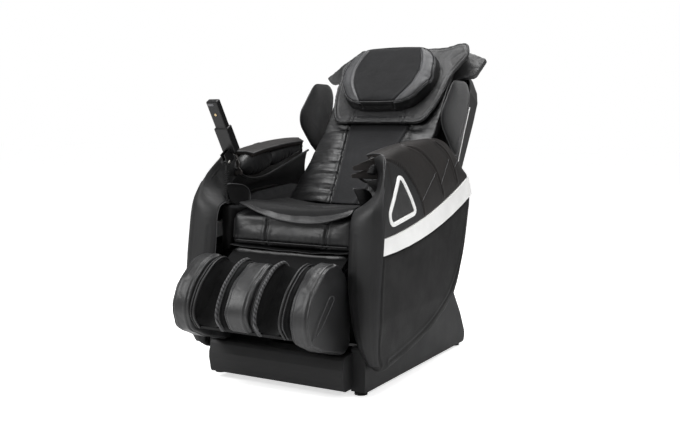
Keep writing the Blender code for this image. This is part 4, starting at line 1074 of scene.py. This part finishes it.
def seat_cover():
    """The sheet that runs down from the back over the cushion, its front edge hanging in a soft curve."""
    edge = [(-0.232, 0.085, 0.610), (-0.190, 0.058, 0.604), (-0.120, 0.036, 0.586), (-0.040, 0.030, 0.566),
            (0.050, 0.031, 0.557), (0.130, 0.031, 0.561), (0.190, 0.034, 0.575), (0.236, 0.045, 0.590)]
    front = spaced([tuple(p) for p in curve_through(edge, 0.004)], 0.0055, False)
    grid = []
    for x, y, z in front:
        row = []
        for k in range(46):
            s = k / 45
            deep = y + (0.400 - y) * s
            crest = 0.006 * math.sin(math.pi * min(1.0, s * 2.2))
            rise = 0.586 + 0.020 * (abs(x) / 0.23) ** 2 + crest - 0.004 * s
            ease = min(1.0, s / 0.13)
            high = z + (rise - z) * (ease * ease * (3 - 2 * ease))
            row.append(chair(x, deep, high + 0.0022 * noise.noise(Vector((x * 22, deep * 16, 1.7)))))
        grid.append(row)
    # Painted shade: the sheet takes the darker lining cloth for the shadow it lies in over the seat; its front band is
    # leather.
    sheet = loft("seat_cover", grid, 0.0055, "lining", 1)
    across, hems = [p[0] for p in front], [p[1] for p in front]
    second_look(sheet, "pad_leather", lambda c, n: c.y + CENTRE_Y < 0.026 + float(np.interp(c.x, across, hems)))
    rides(sheet, "seat", BLACK, fill=0.2)
    hem = [Vector((p[0], p[1] - CENTRE_Y - 0.001, p[2] - 0.003)) for p in front]
    piping("seat_cover_hem", "seat", [hem], 0.0034)


def apron():
    """The puffy roll under the seat's front edge, and the thin flap below it."""
    points, sides, count = [], 24, 121
    for i in range(count):
        x = -0.228 + 0.456 * i / (count - 1)
        end = min(1.0, (0.5 - abs(i / (count - 1) - 0.5)) * 14)
        size = 0.15 + 0.85 * math.sin(math.pi / 2 * end) ** 0.6
        sag = 0.005 * math.cos(math.pi * x / 0.456)
        for k in range(sides):
            turn = 2 * math.pi * k / sides
            points.append(chair(x, 0.0445 + 0.0135 * size * math.cos(turn),
                                0.4425 - sag + 0.0140 * size * math.sin(turn)))
    roll = joined("seat_roll", [(points, tube_faces(count, sides))], "pad_leather")
    rounded_off(roll, 0.0036, 2)
    crumpled(roll, 0.040, 0.0034, 21.0, (0.7, 1.0, 1.0))
    rides(finer(roll), "seat", BLACK, ["seat_apron"], 0.6)
    for number, (y, z, half) in enumerate(((0.029, 0.462, 0.240), (0.039, 0.424, 0.236))):
        grid = []
        for i in range(81):
            x = -half + 2 * half * i / 80
            wave = 0.003 * noise.noise(Vector((x * 14, number * 5.0, 0.3)))
            sag = 0.006 * (1 - (x / half) ** 2)
            grid.append([chair(x, y + 0.034 * k / 6 + wave * (1 - k / 6),
                               z - sag + 0.003 * k / 6 + wave) for k in range(7)])
        flap = loft(f"apron_flap_{number + 1}", grid, 0.0028, "leather", 1)
        rides(flap, "seat", BLACK, fill=0.1)


def under_linings():
    """Black fabric that closes the space under the seat, either side of the actuators, and the arms' inner sides."""
    def curtain(turn):
        def place(s, t):
            x, z = 0.118 + 0.170 * s, 0.450 - 0.310 * t
            fold = 0.004 * noise.noise(Vector((x * 30, z * 5, 1.0)))
            return chair(turn * x, 0.105 + 0.03 * s + fold, z)
        return place

    def inside(turn):
        def place(s, t):
            y, z = 0.500 * s, 0.452 - 0.312 * t
            return chair(turn * (0.333 + 0.002 * noise.noise(Vector((y * 12, z * 9, 4.0)))), y, z)
        return place
    for side_name, turn in SIDES:
        hung = loft(f"under_curtain_{side_name}", grid_of(30, 24, curtain(turn)), 0.0016, "lining", 1)
        rides(hung, "seat", FABRIC, fill=0.0)
        lining = loft(f"arm_inner_lining_{side_name}", grid_of(40, 20, inside(turn)), 0.0016, "lining")
        rides(lining, "seat", FABRIC, fill=0.0)


def valance():
    """The soft flap from the seat's front edge down to the calf rest's top."""
    def place(across, s):
        x = -0.232 + 0.464 * across
        y = 0.050 - 0.085 * math.sin(s * math.pi * 0.62)
        z = 0.446 - 0.092 * s - 0.006 * math.sin(s * math.pi)
        wave = 0.0035 * noise.noise(Vector((x * 16, s * 2.5, 8.0)))
        return chair(x, y + wave, z + wave)
    flap = loft("calf_valance", grid_of(80, 16, place), 0.0025, "lining", 1)
    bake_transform(flap)
    declared(flap, 0.0)


# ---------------------------------------------------------------- back
STRIP_EDGE = [(0.055, 0.020), (0.058, 0.082), (0.093, 0.247), (0.125, 0.400), (0.134, 0.462), (0.138, 0.600),
              (0.138, 0.800)]
BACK_ORIGIN = back(0, 0, 0)
BACK_UP, BACK_REARWARD = way(back, 0, 0, 1), way(back, 0, 1, 0)


def in_back(p):
    """A world point in the back's own frame."""
    off = Vector(p) - BACK_ORIGIN
    return off.x, off.dot(BACK_REARWARD), off.dot(BACK_UP)


def strip_half(z):
    return float(np.interp(z, [b for _, b in STRIP_EDGE], [a for a, _ in STRIP_EDGE]))


def padded_back():
    pad = from_cad("back_pad", "back_cushion", "leather", 0.0056, 7)
    points, square = coords(pad), normals(pad)
    for i, point in enumerate(points):
        x, _, z = in_back(point)
        facing = -Vector(square[i]).dot(BACK_REARWARD)
        if facing < 0.2:
            continue
        edge = strip_half(z)
        share = (abs(x) - edge) / max(0.02, 0.246 - edge)
        fade = max(0.0, min(1.0, (0.470 - z) / 0.10)) * min(1.0, max(0.0, (z - 0.03) / 0.08))
        if share > 0:
            puff = 0.016 * math.sin(math.pi * min(1.0, share) ** 0.8) * fade
        else:
            puff = -0.003 * math.cos(math.pi / 2 * abs(x) / edge) * fade
        points[i] = np.array(Vector(point) - BACK_REARWARD * puff)
    move_to(pad, points)
    finer(pad)
    edges = [laid(pad, [back(side * a, -0.30, b) for a, b in STRIP_EDGE[:6]], BACK_REARWARD, 0.05)
             for side in (1, -1)]
    pressed(pad, edges, 0.0045, 0.0060, 0.0030)
    outside = lambda p: abs(in_back(p)[0]) > strip_half(in_back(p)[2]) + 0.002
    gathered(pad, edges, 0.0120, 0.040, 0.078, 4.0, outside)
    crumpled(pad, 0.055, 0.0040, 6.0, (0.7, 1.0, 1.5), outside)
    second_look(pad, "strip_cloth", lambda c, n: abs(in_back(c)[0]) < strip_half(in_back(c)[2]) - 0.001
                and -n.dot(BACK_REARWARD) > 0.3)
    rides(pad, "back", BLACK, ["back_cushion"], 0.75)
    stitches("back_stitches", "back", pad, edges, (0.0046, -0.0046))


def lens(name, outline, place, middle, half, look, power=3.0, rings=14):
    """A pad with this (y, z) outline, thickest inside and thin at its rim."""
    cy, cz = sum(p[0] for p in outline) / len(outline), sum(p[1] for p in outline) / len(outline)
    points, faces, count = [], [], len(outline)
    shares = [math.cos(math.pi / 2 * r / rings) for r in range(rings)]
    for turn in (1, -1):
        start = len(points)
        for share in shares:
            rise = half * (0.10 + 0.90 * (1.0 - share ** power) ** 0.5)
            points += [place(middle + turn * rise, cy + (y - cy) * share, cz + (z - cz) * share)
                       for y, z in outline]
        points.append(place(middle + turn * half, cy, cz))
        for r in range(rings - 1):
            for k in range(count):
                a, b = start + r * count + k, start + r * count + (k + 1) % count
                faces.append((a, b, b + count, a + count)[::turn])
        last = start + (rings - 1) * count
        faces += [(last + k, last + (k + 1) % count, start + rings * count)[::turn] for k in range(count)]
    other = rings * count + 1
    faces += [(k, other + k, other + (k + 1) % count, (k + 1) % count) for k in range(count)]
    return joined(name, [(points, faces)], look)


WING = [(-0.205, 0.428, 0.06), (-0.156, 0.622, 0.06), (-0.020, 0.696, 0.055), (0.016, 0.610, 0.04),
        (0.016, 0.380, 0.02), (-0.058, 0.388, 0.06)]
WING_CRINKLE = [(-0.024, 0.660), (-0.012, 0.600), (-0.014, 0.500), (-0.030, 0.420)]


def wings():
    outline = spaced(rounded(WING, 8.0), 0.006)
    wing = lens("wing_pad_left", outline, back, 0.3115, 0.0165, "cloth")
    crumpled(wing, 0.09, 0.0016, 13.0)
    second_look(wing, "lining", lambda c, n: n.x > 0.30 or abs(n.x) < 0.25)
    second_look(wing, "arm_leather", lambda c, n: n.x > 0.25 and in_back(c)[1] > -0.022)
    pair(finer(wing), "back", FABRIC, "shoulder_wing", 0.6)
    edge = [back(0.3105, y, z) for y, z in spaced(rounded(WING, 8.0), 0.003)]
    mirrored(piping("wing_piping_left", "back", [edge], 0.0026, "leather", closed=True), "back")
    crinkle = []
    for k, (y, z) in enumerate(spaced(WING_CRINKLE, 0.003, False)):
        across = 0.3265 + 0.0014 * noise.noise(Vector((k * 0.31, 0, 2)))
        crinkle.append(back(across, y + 0.002 * noise.noise(Vector((k * 0.27, 5, 0))), z))
    mirrored(piping("wing_crinkle_left", "back", [crinkle], 0.0014, "boomerang_thread"), "back")
    trim = [back(0.3085, 0.052 - 0.010 * math.sin((z - 0.30) * 7), z) for z in np.linspace(0.350, 0.620, 80)]
    mirrored(piping("shell_trim_left", "back", [trim], 0.0022, "white", WHITE), "back", WHITE)


REAR_SLOPE = (0.0, 0.300, 0.600), (0.0900, 0.0975, 0.1135)
REAR_WIDTH = (0.052, 0.120, 0.200, 0.270, 0.345, 0.560), (0.236, 0.240, 0.243, 0.268, 0.299, 0.301)


def rear_cover():
    """The stretched cloth that closes the back shell's lower half, and its zip."""
    def place(s, t):
        z, side = REAR_WIDTH[0][0] + 0.508 * s, 2 * t - 1
        deep = float(np.interp(z, *REAR_SLOPE)) - 0.006 * abs(side) ** 8
        return back(float(np.interp(z, *REAR_WIDTH)) * side,
                    deep + 0.001 * noise.noise(Vector((side * 5, z * 14, 1.0))), z)
    rides(loft("back_rear_cover", grid_of(60, 40, place), 0.0022, "cloth"), "back", FABRIC, fill=0.0)
    zip_line = [back(0.0012 * (k % 2) - 0.0006, float(np.interp(z, *REAR_SLOPE)) + 0.0020, z)
                for k, z in enumerate(np.linspace(0.070, 0.470, 180))]
    piping("back_rear_zip", "back", [zip_line], 0.0022, "rubber", PLASTIC)


def shoulder_flaps():
    """The cover over the top of the back: it hangs out to a soft point at each side."""
    flap = from_cad("shoulder_flaps", "head_cover", "pad_leather", 0.0040, 5)
    crumpled(flap, 0.05, 0.0040, 15.0)
    points = coords(flap)
    for i, point in enumerate(points):
        x, _, _ = in_back(point)
        far = max(0.0, abs(x) - 0.24) / 0.12
        moved = Vector(point) + BACK_REARWARD * 0.012 * math.sin(far * 2.4)
        points[i] = np.array(moved + Z * 0.006 * math.sin(far * 4.0))
    move_to(flap, points)
    rides(finer(flap), "back", BLACK, ["head_cover"], 0.3)


def bib_shape(x, z):
    """Where the bib's point x goes, across and rearwards: one upper corner is folded back, the other spread."""
    if x < -0.10:
        edge = float(np.interp(z, (0.56, 0.641, 0.746, 0.80, 0.835, 0.868), (1.0, 1.0, 0.93, 0.72, 0.63, 0.55)))
        share = min(1.0, (-x - 0.10) / 0.15)
        return -0.10 + (x + 0.10) * (1.0 + (edge - 1.0) * share), 0.030 * (1.0 - edge) * share
    if x > 0.16:
        share = min(1.0, (x - 0.16) / 0.12) * max(0.0, min(1.0, (z - 0.72) / 0.10))
        return x + 0.008 * share, -0.010 * share
    return x, 0.0


def bib_swell(x):
    """How far the bib's middle stands out towards the head."""
    return 0.0045 * (1 - min(1.0, abs(x) / 0.24) ** 2)


def bib():
    pad = from_cad("bib", "head_pad", "bib_leather", 0.0042, 5)
    aim = way(head, 0, 1, 0)
    points = coords(pad)
    for i, point in enumerate(points):
        off = Vector(point) - HEAD_ORIGIN
        x, z = off.x, off.dot(HEAD_UP)
        points[i] += np.array(head(*bib_shape(x, z), z) - head(x, 0.0, z))
    move_to(pad, points)
    seams = [laid(pad, [head(x, -0.2, z) for z in (0.466, 0.49, 0.545, 0.62)], aim) for x in (0.113, -0.113)]
    half = [(0.195, 0.462, 0.05), (0.236, 0.560, 0.20), (0.250, 0.700, 0.10), (0.300, 0.800, 0.04),
            (0.275, 0.868, 0.03), (0.190, 0.840, 0.04)]
    outline = rounded(half + [(-x, z, r) for x, z, r in reversed(half)])
    hem = [(bib_shape(x, z)[0], z) for x, z in spaced(inset(outline, 0.009), 0.010)]
    hem = laid(pad, [head(x, -0.2, z) for x, z in hem], aim, closed=True)
    points = coords(pad)
    for i, point in enumerate(points):
        points[i] += np.array(-aim * bib_swell(point[0]))
    move_to(pad, points)
    finer(pad)
    pressed(pad, seams, 0.0042, 0.0034, 0.0018)
    pressed(pad, [hem], 0.0034, 0.0022, 0.0010)
    gathered(pad, seams, 0.0026, 0.020, 0.035, 8.0)
    crumpled(pad, 0.07, 0.0036, 18.0)
    rides(pad, "head", BLACK, ["head_pad"], 0.4)
    stitches("bib_stitches", "head", pad, seams, (-0.0040, 0.0040))
    stitches("bib_hem_stitches", "head", pad, [hem], (0.0030,))
    edge = []
    for x, z in spaced(inset(outline, 0.0015), 0.004):
        moved, rear = bib_shape(x, z)
        edge.append(head(moved, rear - 0.0115 - bib_swell(x), z))
    piping("bib_piping", "head", [edge], 0.0028, "leather", closed=True)


PILLOW_SEAM = [(0.118, 0.790), (0.138, 0.735), (0.146, 0.680), (0.132, 0.615), (0.100, 0.560), (0.070, 0.515)]
HEAD_ORIGIN = head(0, 0, 0)
HEAD_UP, HEAD_REARWARD = way(head, 0, 0, 1), way(head, 0, 1, 0)


def crowned(x, z):
    """How far the pillow's top and bottom edges curve out, at a point of the head's own frame."""
    across = max(0.0, 1.0 - (x / 0.19) ** 2)
    top, bottom = max(0.0, min(1.0, (z - 0.66) / 0.14)), max(0.0, min(1.0, (0.66 - z) / 0.14))
    return across * (0.016 * top - 0.010 * bottom)


def pillow():
    pad = from_cad("pillow", "head_pillow", "leather", 0.0044, 7)
    inflated(pad, 5.0, 0.006, held=lambda p: (Vector(p) - HEAD_ORIGIN).dot(HEAD_REARWARD) > -0.030, shrink=0.0)
    points = coords(pad)
    for i, point in enumerate(points):
        off = Vector(point) - HEAD_ORIGIN
        points[i] += np.array(HEAD_UP) * crowned(off.x, off.dot(HEAD_UP))
    move_to(pad, points)
    finer(pad)
    seams = [laid(pad, [head(side * x, -0.3, z) for x, z in PILLOW_SEAM], HEAD_REARWARD) for side in (1, -1)]
    outline = rounded([(0.140, 0.522, 0.10), (0.214, 0.640, 0.10), (0.195, 0.800, 0.09), (-0.195, 0.800, 0.09),
                       (-0.214, 0.640, 0.10), (-0.140, 0.522, 0.10)])
    outline = [(x, z + crowned(x, z)) for x, z in spaced(inset(outline, 0.010), 0.008)]
    rim = laid(pad, [head(x, -0.3, z) for x, z in outline], HEAD_REARWARD, closed=True)
    pressed(pad, seams, 0.0036, 0.0026, 0.0014)
    pressed(pad, [rim], 0.0040, 0.0030, 0.0012)
    crumpled(pad, 0.06, 0.0014, 19.0)

    def zone(c, n):
        off = c - HEAD_ORIGIN
        z = off.dot(HEAD_UP)
        edge = float(np.interp(z, [b for _, b in reversed(PILLOW_SEAM)], [a for a, _ in reversed(PILLOW_SEAM)]))
        return -n.dot(HEAD_REARWARD), abs(off.x) < edge
    second_look(pad, "grey_leather", lambda c, n: zone(c, n)[0] > 0.45 and not zone(c, n)[1])
    second_look(pad, "pillow_cloth", lambda c, n: zone(c, n)[0] > 0.45 and zone(c, n)[1])
    rides(pad, "head", FABRIC, ["head_pillow"], 0.8)
    stitches("pillow_stitches", "head", pad, seams, (0.0036,))
    piping("pillow_piping", "head", [[p + n * 0.0006 for p, n in rim]], 0.0022, closed=True)


# ---------------------------------------------------------------- calf rest
BOOMERANG = [(-0.235, 0.228), (-0.207, 0.275), (-0.175, 0.311), (-0.141, 0.346), (-0.122, 0.350),
             (-0.112, 0.340), (-0.120, 0.328), (-0.150, 0.298), (-0.191, 0.259), (-0.215, 0.243)]


def band_lines(pad, xs, place, profile, middle):
    """Curves round the front of a pad, at each x, thrown from outside towards a middle point."""
    tree = surface(pad)
    lines = []
    for x in xs:
        line = []
        centre = place(x, *middle)
        for point in curve_through([place(x, y, z) for y, z in profile], 0.003):
            out = (point - centre).normalized()
            hit, normal, _, _ = tree.ray_cast(point + out * 0.08, -out, 0.25)
            if hit is not None:
                line.append((hit, normal))
        lines.append(line)
    return lines


CALF_REACH = 0.2630       # how far out the calf pads may come, clear of the arms as the calf rest lifts


def calf_pads():
    pad = from_cad("calf_outer_left", "calf_pad_left", "pad_leather", 0.0045, 22, grow=0.0014)
    inflated(pad, 4.0, 0.003, shrink=0.0)
    finer(pad)
    profile = [(-0.090, 0.445), (-0.150, 0.440), (-0.236, 0.366), (-0.266, 0.288), (-0.244, 0.214), (-0.165, 0.176),
               (-0.060, 0.150)]
    bands = band_lines(pad, (0.203, 0.2555), chair, profile, (-0.11, 0.29))
    side = laid(pad, [chair(0.30, y, z) for y, z in BOOMERANG], -X, 0.05)
    pressed(pad, bands, 0.0034, 0.0024, 0.0012)
    pressed(pad, [side], 0.0030, 0.0016, 0.0008)
    crumpled(pad, 0.06, 0.0022, 23.0)
    points = coords(pad)
    points[:, 0] = np.minimum(points[:, 0], CALF_REACH)
    move_to(pad, points)
    pair(pad, "leg", BLACK, "calf_pad", 0.7)
    mirrored(stitches("calf_stitches_left", "leg", pad, bands + [side], (-0.0036, 0.0036)), "leg")
    raised = [hit + normal * 0.0004 for hit, normal in side]
    mirrored(piping("calf_boomerang_left", "leg", [raised], 0.0010, "boomerang_thread"), "leg")
    middle = from_cad("calf_middle", "calf_pad_centre", "pad_leather", 0.0045, 20, grow=0.0014)
    inflated(middle, 4.0, 0.003, shrink=0.0)
    finer(middle)
    profile = [(-0.095, -0.060), (-0.150, -0.075), (-0.186, -0.190), (-0.166, -0.290), (-0.095, -0.311)]
    bands = band_lines(middle, (-0.034, 0.034), leg, profile, (-0.10, -0.19))
    pressed(middle, bands, 0.0034, 0.0026, 0.0012)
    crumpled(middle, 0.05, 0.0020, 25.0)
    rides(middle, "leg", BLACK, ["calf_pad_centre"], 0.7)
    stitches("calf_middle_stitches", "leg", middle, bands, (-0.0036, 0.0036))


CELL = [(-0.092, -0.055), (-0.126, -0.056), (-0.158, -0.095), (-0.173, -0.150), (-0.178, -0.200),
        (-0.166, -0.262), (-0.142, -0.296), (-0.092, -0.308)]


def calf_cells():
    for where, x_rim, look in (("inner", 0.0730, "ribs"), ("outer", 0.1650, "leather")):
        cell = from_cad(f"cell_{where}_left", f"calf_cell_{where}_left", "cell_cloth", 0.0040, 7)
        inflated(cell, 4.0, 0.007, shrink=0.001)
        crumpled(cell, 0.05, 0.0016, 27.0)
        pair(cell, "leg", FABRIC, f"calf_cell_{where}", 0.7)
        path = curve_through([leg(x_rim, y, z) for y, z in CELL], 0.003)
        thick = 0.0052 if where == "inner" else 0.0042
        mirrored(piping(f"cell_{where}_rim_left", "leg", [path], thick, look), "leg")
        edge = [p + X * (-0.009 if where == "inner" else 0.012) for p in path]
        mirrored(piping(f"cell_{where}_line_left", "leg", [edge], 0.0018), "leg")


def well_lining():
    """The cloth at the bottom of each calf well."""
    def place(s, t):
        x, z = 0.064 + 0.108 * s, -0.060 - 0.245 * t
        rise = 0.028 * (1 - math.sin(math.pi * s))
        return leg(x, -0.098 - rise - 0.003 * noise.noise(Vector((x * 30, z * 30, 2))), z)
    pair(loft("well_lining_left", grid_of(24, 60, place), 0.003, "cell_cloth", 1), "leg", FABRIC, None, 0.1)


# ---------------------------------------------------------------- carried-over parts
def hard_parts():
    repaint("base_plastic", *both("base_cover"), "base_front_cover", "base_rear_cover", bevel=0.0022)
    repaint("shell_plastic", "back_shell", bevel=0.003)
    repaint("cell_cloth", "leg_tray")
    repaint("plastic", "power_inlet", "power_switch")
    repaint("remote_plastic", "remote_stand", "remote_holder", "remote_handset")
    repaint("white", *both("arm_band"), bevel=0.0016)
    repaint("steel", "base_frame", "seat_frame", "back_frame", "leg_frame", "massage_carriage",
            *both("roller_arm"), "tilt_motor", "recline_motor", "leg_motor")
    repaint("bright", "tilt_rod", "recline_rod", "leg_rod")
    repaint("rubber", *both("foot_front"), *both("foot_rear"), *both("transport_wheel"),
            *both("massage_roller"))
    repaint("silver", "remote_button")


def base_shade_sheet():
    """A dark sheet that closes the base from below: painted shade, standing in for the shadow inside the open base."""
    def place(s, t):
        return chair(-0.246 + 0.492 * s, 0.030 + 0.750 * t,
                     0.0265 + 0.0012 * noise.noise(Vector((s * 8, t * 9, 3))))
    # Painted shade: this dark sheet replaces the shadowed floor seen through the base.
    rides(loft("base_shade_sheet", grid_of(20, 30, place), 0.0024, "plastic"), "base", PLASTIC)


def disc(name, centre, axis, radius, height, look, body, slot, sides=28, dome=0.25):
    """A low round button or screw head, domed and rounded at its edge."""
    axis = Vector(axis).normalized()
    one = axis.orthogonal().normalized()
    two = axis.cross(one)
    rows = [(1.0, 0.0), (1.0, 0.55), (0.93, 0.85), (0.80, 1.0), (0.5, 1.0 + dome * 0.6), (0.2, 1.0 + dome)]
    points = []
    for wide, high in rows:
        for k in range(sides):
            turn = 2 * math.pi * k / sides
            out = one * math.cos(turn) + two * math.sin(turn)
            points.append(centre + axis * height * high + out * radius * wide)
    return rides(joined(name, [(points, tube_faces(len(rows), sides))], look), body, slot)


def plate_on(name, place, x, z, y, wide, high, look, body, slot, radius=0.003, depth=0.0012, bulge=0.0004):
    """A thin plate with rounded corners on a face of constant y, its front towards +y."""
    outline = spaced(rounded([(x - wide, z - high, radius), (x + wide, z - high, radius),
                              (x + wide, z + high, radius), (x - wide, z + high, radius)], 20.0), 0.002)
    rows = [(1.0, 0.0), (1.0, 0.7), (0.95, 1.0), (0.6, 1.0), (0.3, 1.0)]
    points = []
    for share, lift in rows:
        points += [place(x + (a - x) * share, y + depth * lift + bulge * (1 - share), z + (b - z) * share)
                   for a, b in outline]
    return rides(joined(name, [(points, tube_faces(len(rows), len(outline)))], look), body, slot)


HANDSET_MIDDLE, HANDSET_HALF = 0.046, 0.0115          # where its middle plane is, and half of its thickness


def remote_details():
    """The screen and keys on the handset's face, and the clamp, knob and screw at its pivot."""
    face, rear = HANDSET_MIDDLE + HANDSET_HALF, HANDSET_MIDDLE - HANDSET_HALF
    plate_on("remote_screen", remote, 0.0, 0.186, face - 0.0006, 0.0175, 0.020, "screen", "handset", PLASTIC)
    frame_line = [remote(x, face + 0.0004, z) for x, z in spaced(rounded(
        [(-0.0190, 0.164, 0.004), (0.0190, 0.164, 0.004), (0.0190, 0.208, 0.004),
         (-0.0190, 0.208, 0.004)]), 0.002)]
    piping("remote_screen_rim", "handset", [frame_line], 0.0007, "keys", SILVER, closed=True)
    for row, z in enumerate((0.098, 0.082, 0.066, 0.050)):
        for column, x in enumerate((-0.012, 0.0, 0.012)):
            plate_on(f"remote_key_{row + 1}_{column + 1}", remote, x, z, face - 0.0004, 0.0042, 0.0046, "keys",
                     "handset", SILVER, 0.0016)
    badge = plate_on("remote_plate", lambda x, y, z: remote(x, 2 * rear - y, z), -0.006, 0.211, rear - 0.0004,
                     0.0125, 0.0046, "keys", "handset", SILVER, 0.0012)
    for face_of in badge.data.polygons:
        face_of.flip()
    disc("remote_badge", remote(0.0, rear - 0.0003, 0.172), way(remote, 0, -1, 0), 0.0052, 0.0016, "brass",
         "handset", SILVER)
    disc("clamp_knob", remote(-0.006, -0.012, 0.007), way(remote, 0, -1, 0), 0.0070, 0.0040, "plastic",
         "holder", PLASTIC, dome=0.3)
    sides = [[remote(x, HANDSET_MIDDLE, z) for z in np.linspace(0.118, 0.216, 30)] for x in (0.0236, -0.0236)]
    piping("remote_parting_line", "handset", sides, 0.0006, "rubber", PLASTIC)
    for turn, number in ((1, 1), (-1, 2)):
        disc(f"pivot_screw_{number}", remote(turn * 0.0125, 0.0, 0.0), X * turn, 0.0068, 0.0026, "silver",
             "holder", SILVER)
        disc(f"pivot_knob_{number}", remote(turn * 0.0098, 0.0, 0.0), X * turn, 0.0102, 0.0028, "rubber",
             "holder", PLASTIC)
    sleeve = [chair(-0.275 + 0.0072 * math.cos(a * 0.9), 0.065 + 0.0072 * math.sin(a * 0.9), 0.628 + 0.0011 * a)
              for a in range(86)]
    piping("stand_sleeve", "stand", [sleeve], 0.0022, "rubber", PLASTIC)


# ---------------------------------------------------------------- studio
def area(name, place, target, size, power, colour=(1, 1, 1)):
    lamp = bpy.data.lights.new(name, "AREA")
    lamp.shape, lamp.size, lamp.size_y = "RECTANGLE", size[0], size[1]
    lamp.energy, lamp.color = power, colour
    obj = bpy.data.objects.new(name, lamp)
    obj.location = place
    obj.rotation_mode = "QUATERNION"
    obj.rotation_quaternion = (Vector(target) - Vector(place)).to_track_quat("-Z", "Y")
    bpy.context.scene.collection.objects.link(obj)


AMBIENT = 0.36       # how bright the surroundings are, next to what the camera sees of them
FLOOR_HALF = 30.0
FLOOR_GLOW = 0.10, 0.66       # the floor's own light: on the chair, and to the camera
LAMPS = (
    # name, place, aimed at, size, watts
    ("key", (-1.9, -2.7, 2.5), (0, 0, 0.6), (1.6, 1.6), 84), ("side", (2.9, -0.6, 2.1), (0.1, 0, 0.6), (1.2, 2.0), 26),
    ("top", (0.1, 0.2, 3.4), (0, 0, 0.6), (2.6, 2.0), 120))
LENS, SENSOR = 48.07, 36.0
CAMERA_TURN = 84.5, 0.0, 29.8       # degrees


def surroundings():
    """An even white world, dimmer as a light than as the camera sees it."""
    world = bpy.data.worlds.new("studio")
    bpy.context.scene.world = world
    world.use_nodes = True
    sky = world.node_tree.nodes["Background"]
    sky.inputs["Color"].default_value = (1.0, 1.0, 1.0, 1.0)
    path = world.node_tree.nodes.new("ShaderNodeLightPath")
    seen = world.node_tree.nodes.new("ShaderNodeMapRange")
    seen.inputs["To Min"].default_value, seen.inputs["To Max"].default_value = AMBIENT, 1.0
    world.node_tree.links.new(path.outputs["Is Camera Ray"], seen.inputs["Value"])
    world.node_tree.links.new(seen.outputs[0], sky.inputs["Strength"])
    bpy.context.scene.view_settings.view_transform = "Standard"


def pale_floor():
    mesh = bpy.data.meshes.new("floor")
    corners = [(-FLOOR_HALF, -FLOOR_HALF, 0), (FLOOR_HALF, -FLOOR_HALF, 0), (FLOOR_HALF, FLOOR_HALF, 0),
               (-FLOOR_HALF, FLOOR_HALF, 0)]
    mesh.from_pydata(corners, [], [(0, 1, 2, 3)])
    floor = bpy.data.objects.new("floor", mesh)
    bpy.context.scene.collection.objects.link(floor)
    pale = Shader("floor_pale")
    mesh.materials.append(pale.finish((0.94, 0.94, 0.94, 1.0), pale.map(pale.noise(3.0), 0.3, 0.7, 0.62, 0.75)))
    ray, glow = pale.node("ShaderNodeLightPath"), pale.node("ShaderNodeMapRange")
    pale.put(glow.inputs["Value"], ray.outputs["Is Camera Ray"])
    glow.inputs["To Min"].default_value, glow.inputs["To Max"].default_value = FLOOR_GLOW
    pale.out.inputs["Emission Color"].default_value = (1.0, 1.0, 1.0, 1.0)
    pale.put(pale.out.inputs["Emission Strength"], glow.outputs[0])


def studio():
    surroundings()
    pale_floor()
    for lamp in LAMPS:
        area(*lamp)
    lens = bpy.data.cameras.new("view")
    lens.lens, lens.sensor_width = LENS, SENSOR
    camera = bpy.data.objects.new("view", lens)
    camera.location = EYE
    camera.rotation_euler = [math.radians(turn) for turn in CAMERA_TURN]
    bpy.context.scene.collection.objects.link(camera)
    bpy.context.scene.camera = camera


studio()
shell = arm_covers()
arm_fronts()
trim_rings(shell)
arm_panels()
arm_pads()
petals()
arm_lining()
inner_pads()
seat()
seat_cover()
apron()
under_linings()
valance()
padded_back()
wings()
rear_cover()
shoulder_flaps()
bib()
pillow()
calf_pads()
calf_cells()
well_lining()
hard_parts()
base_shade_sheet()
remote_details()
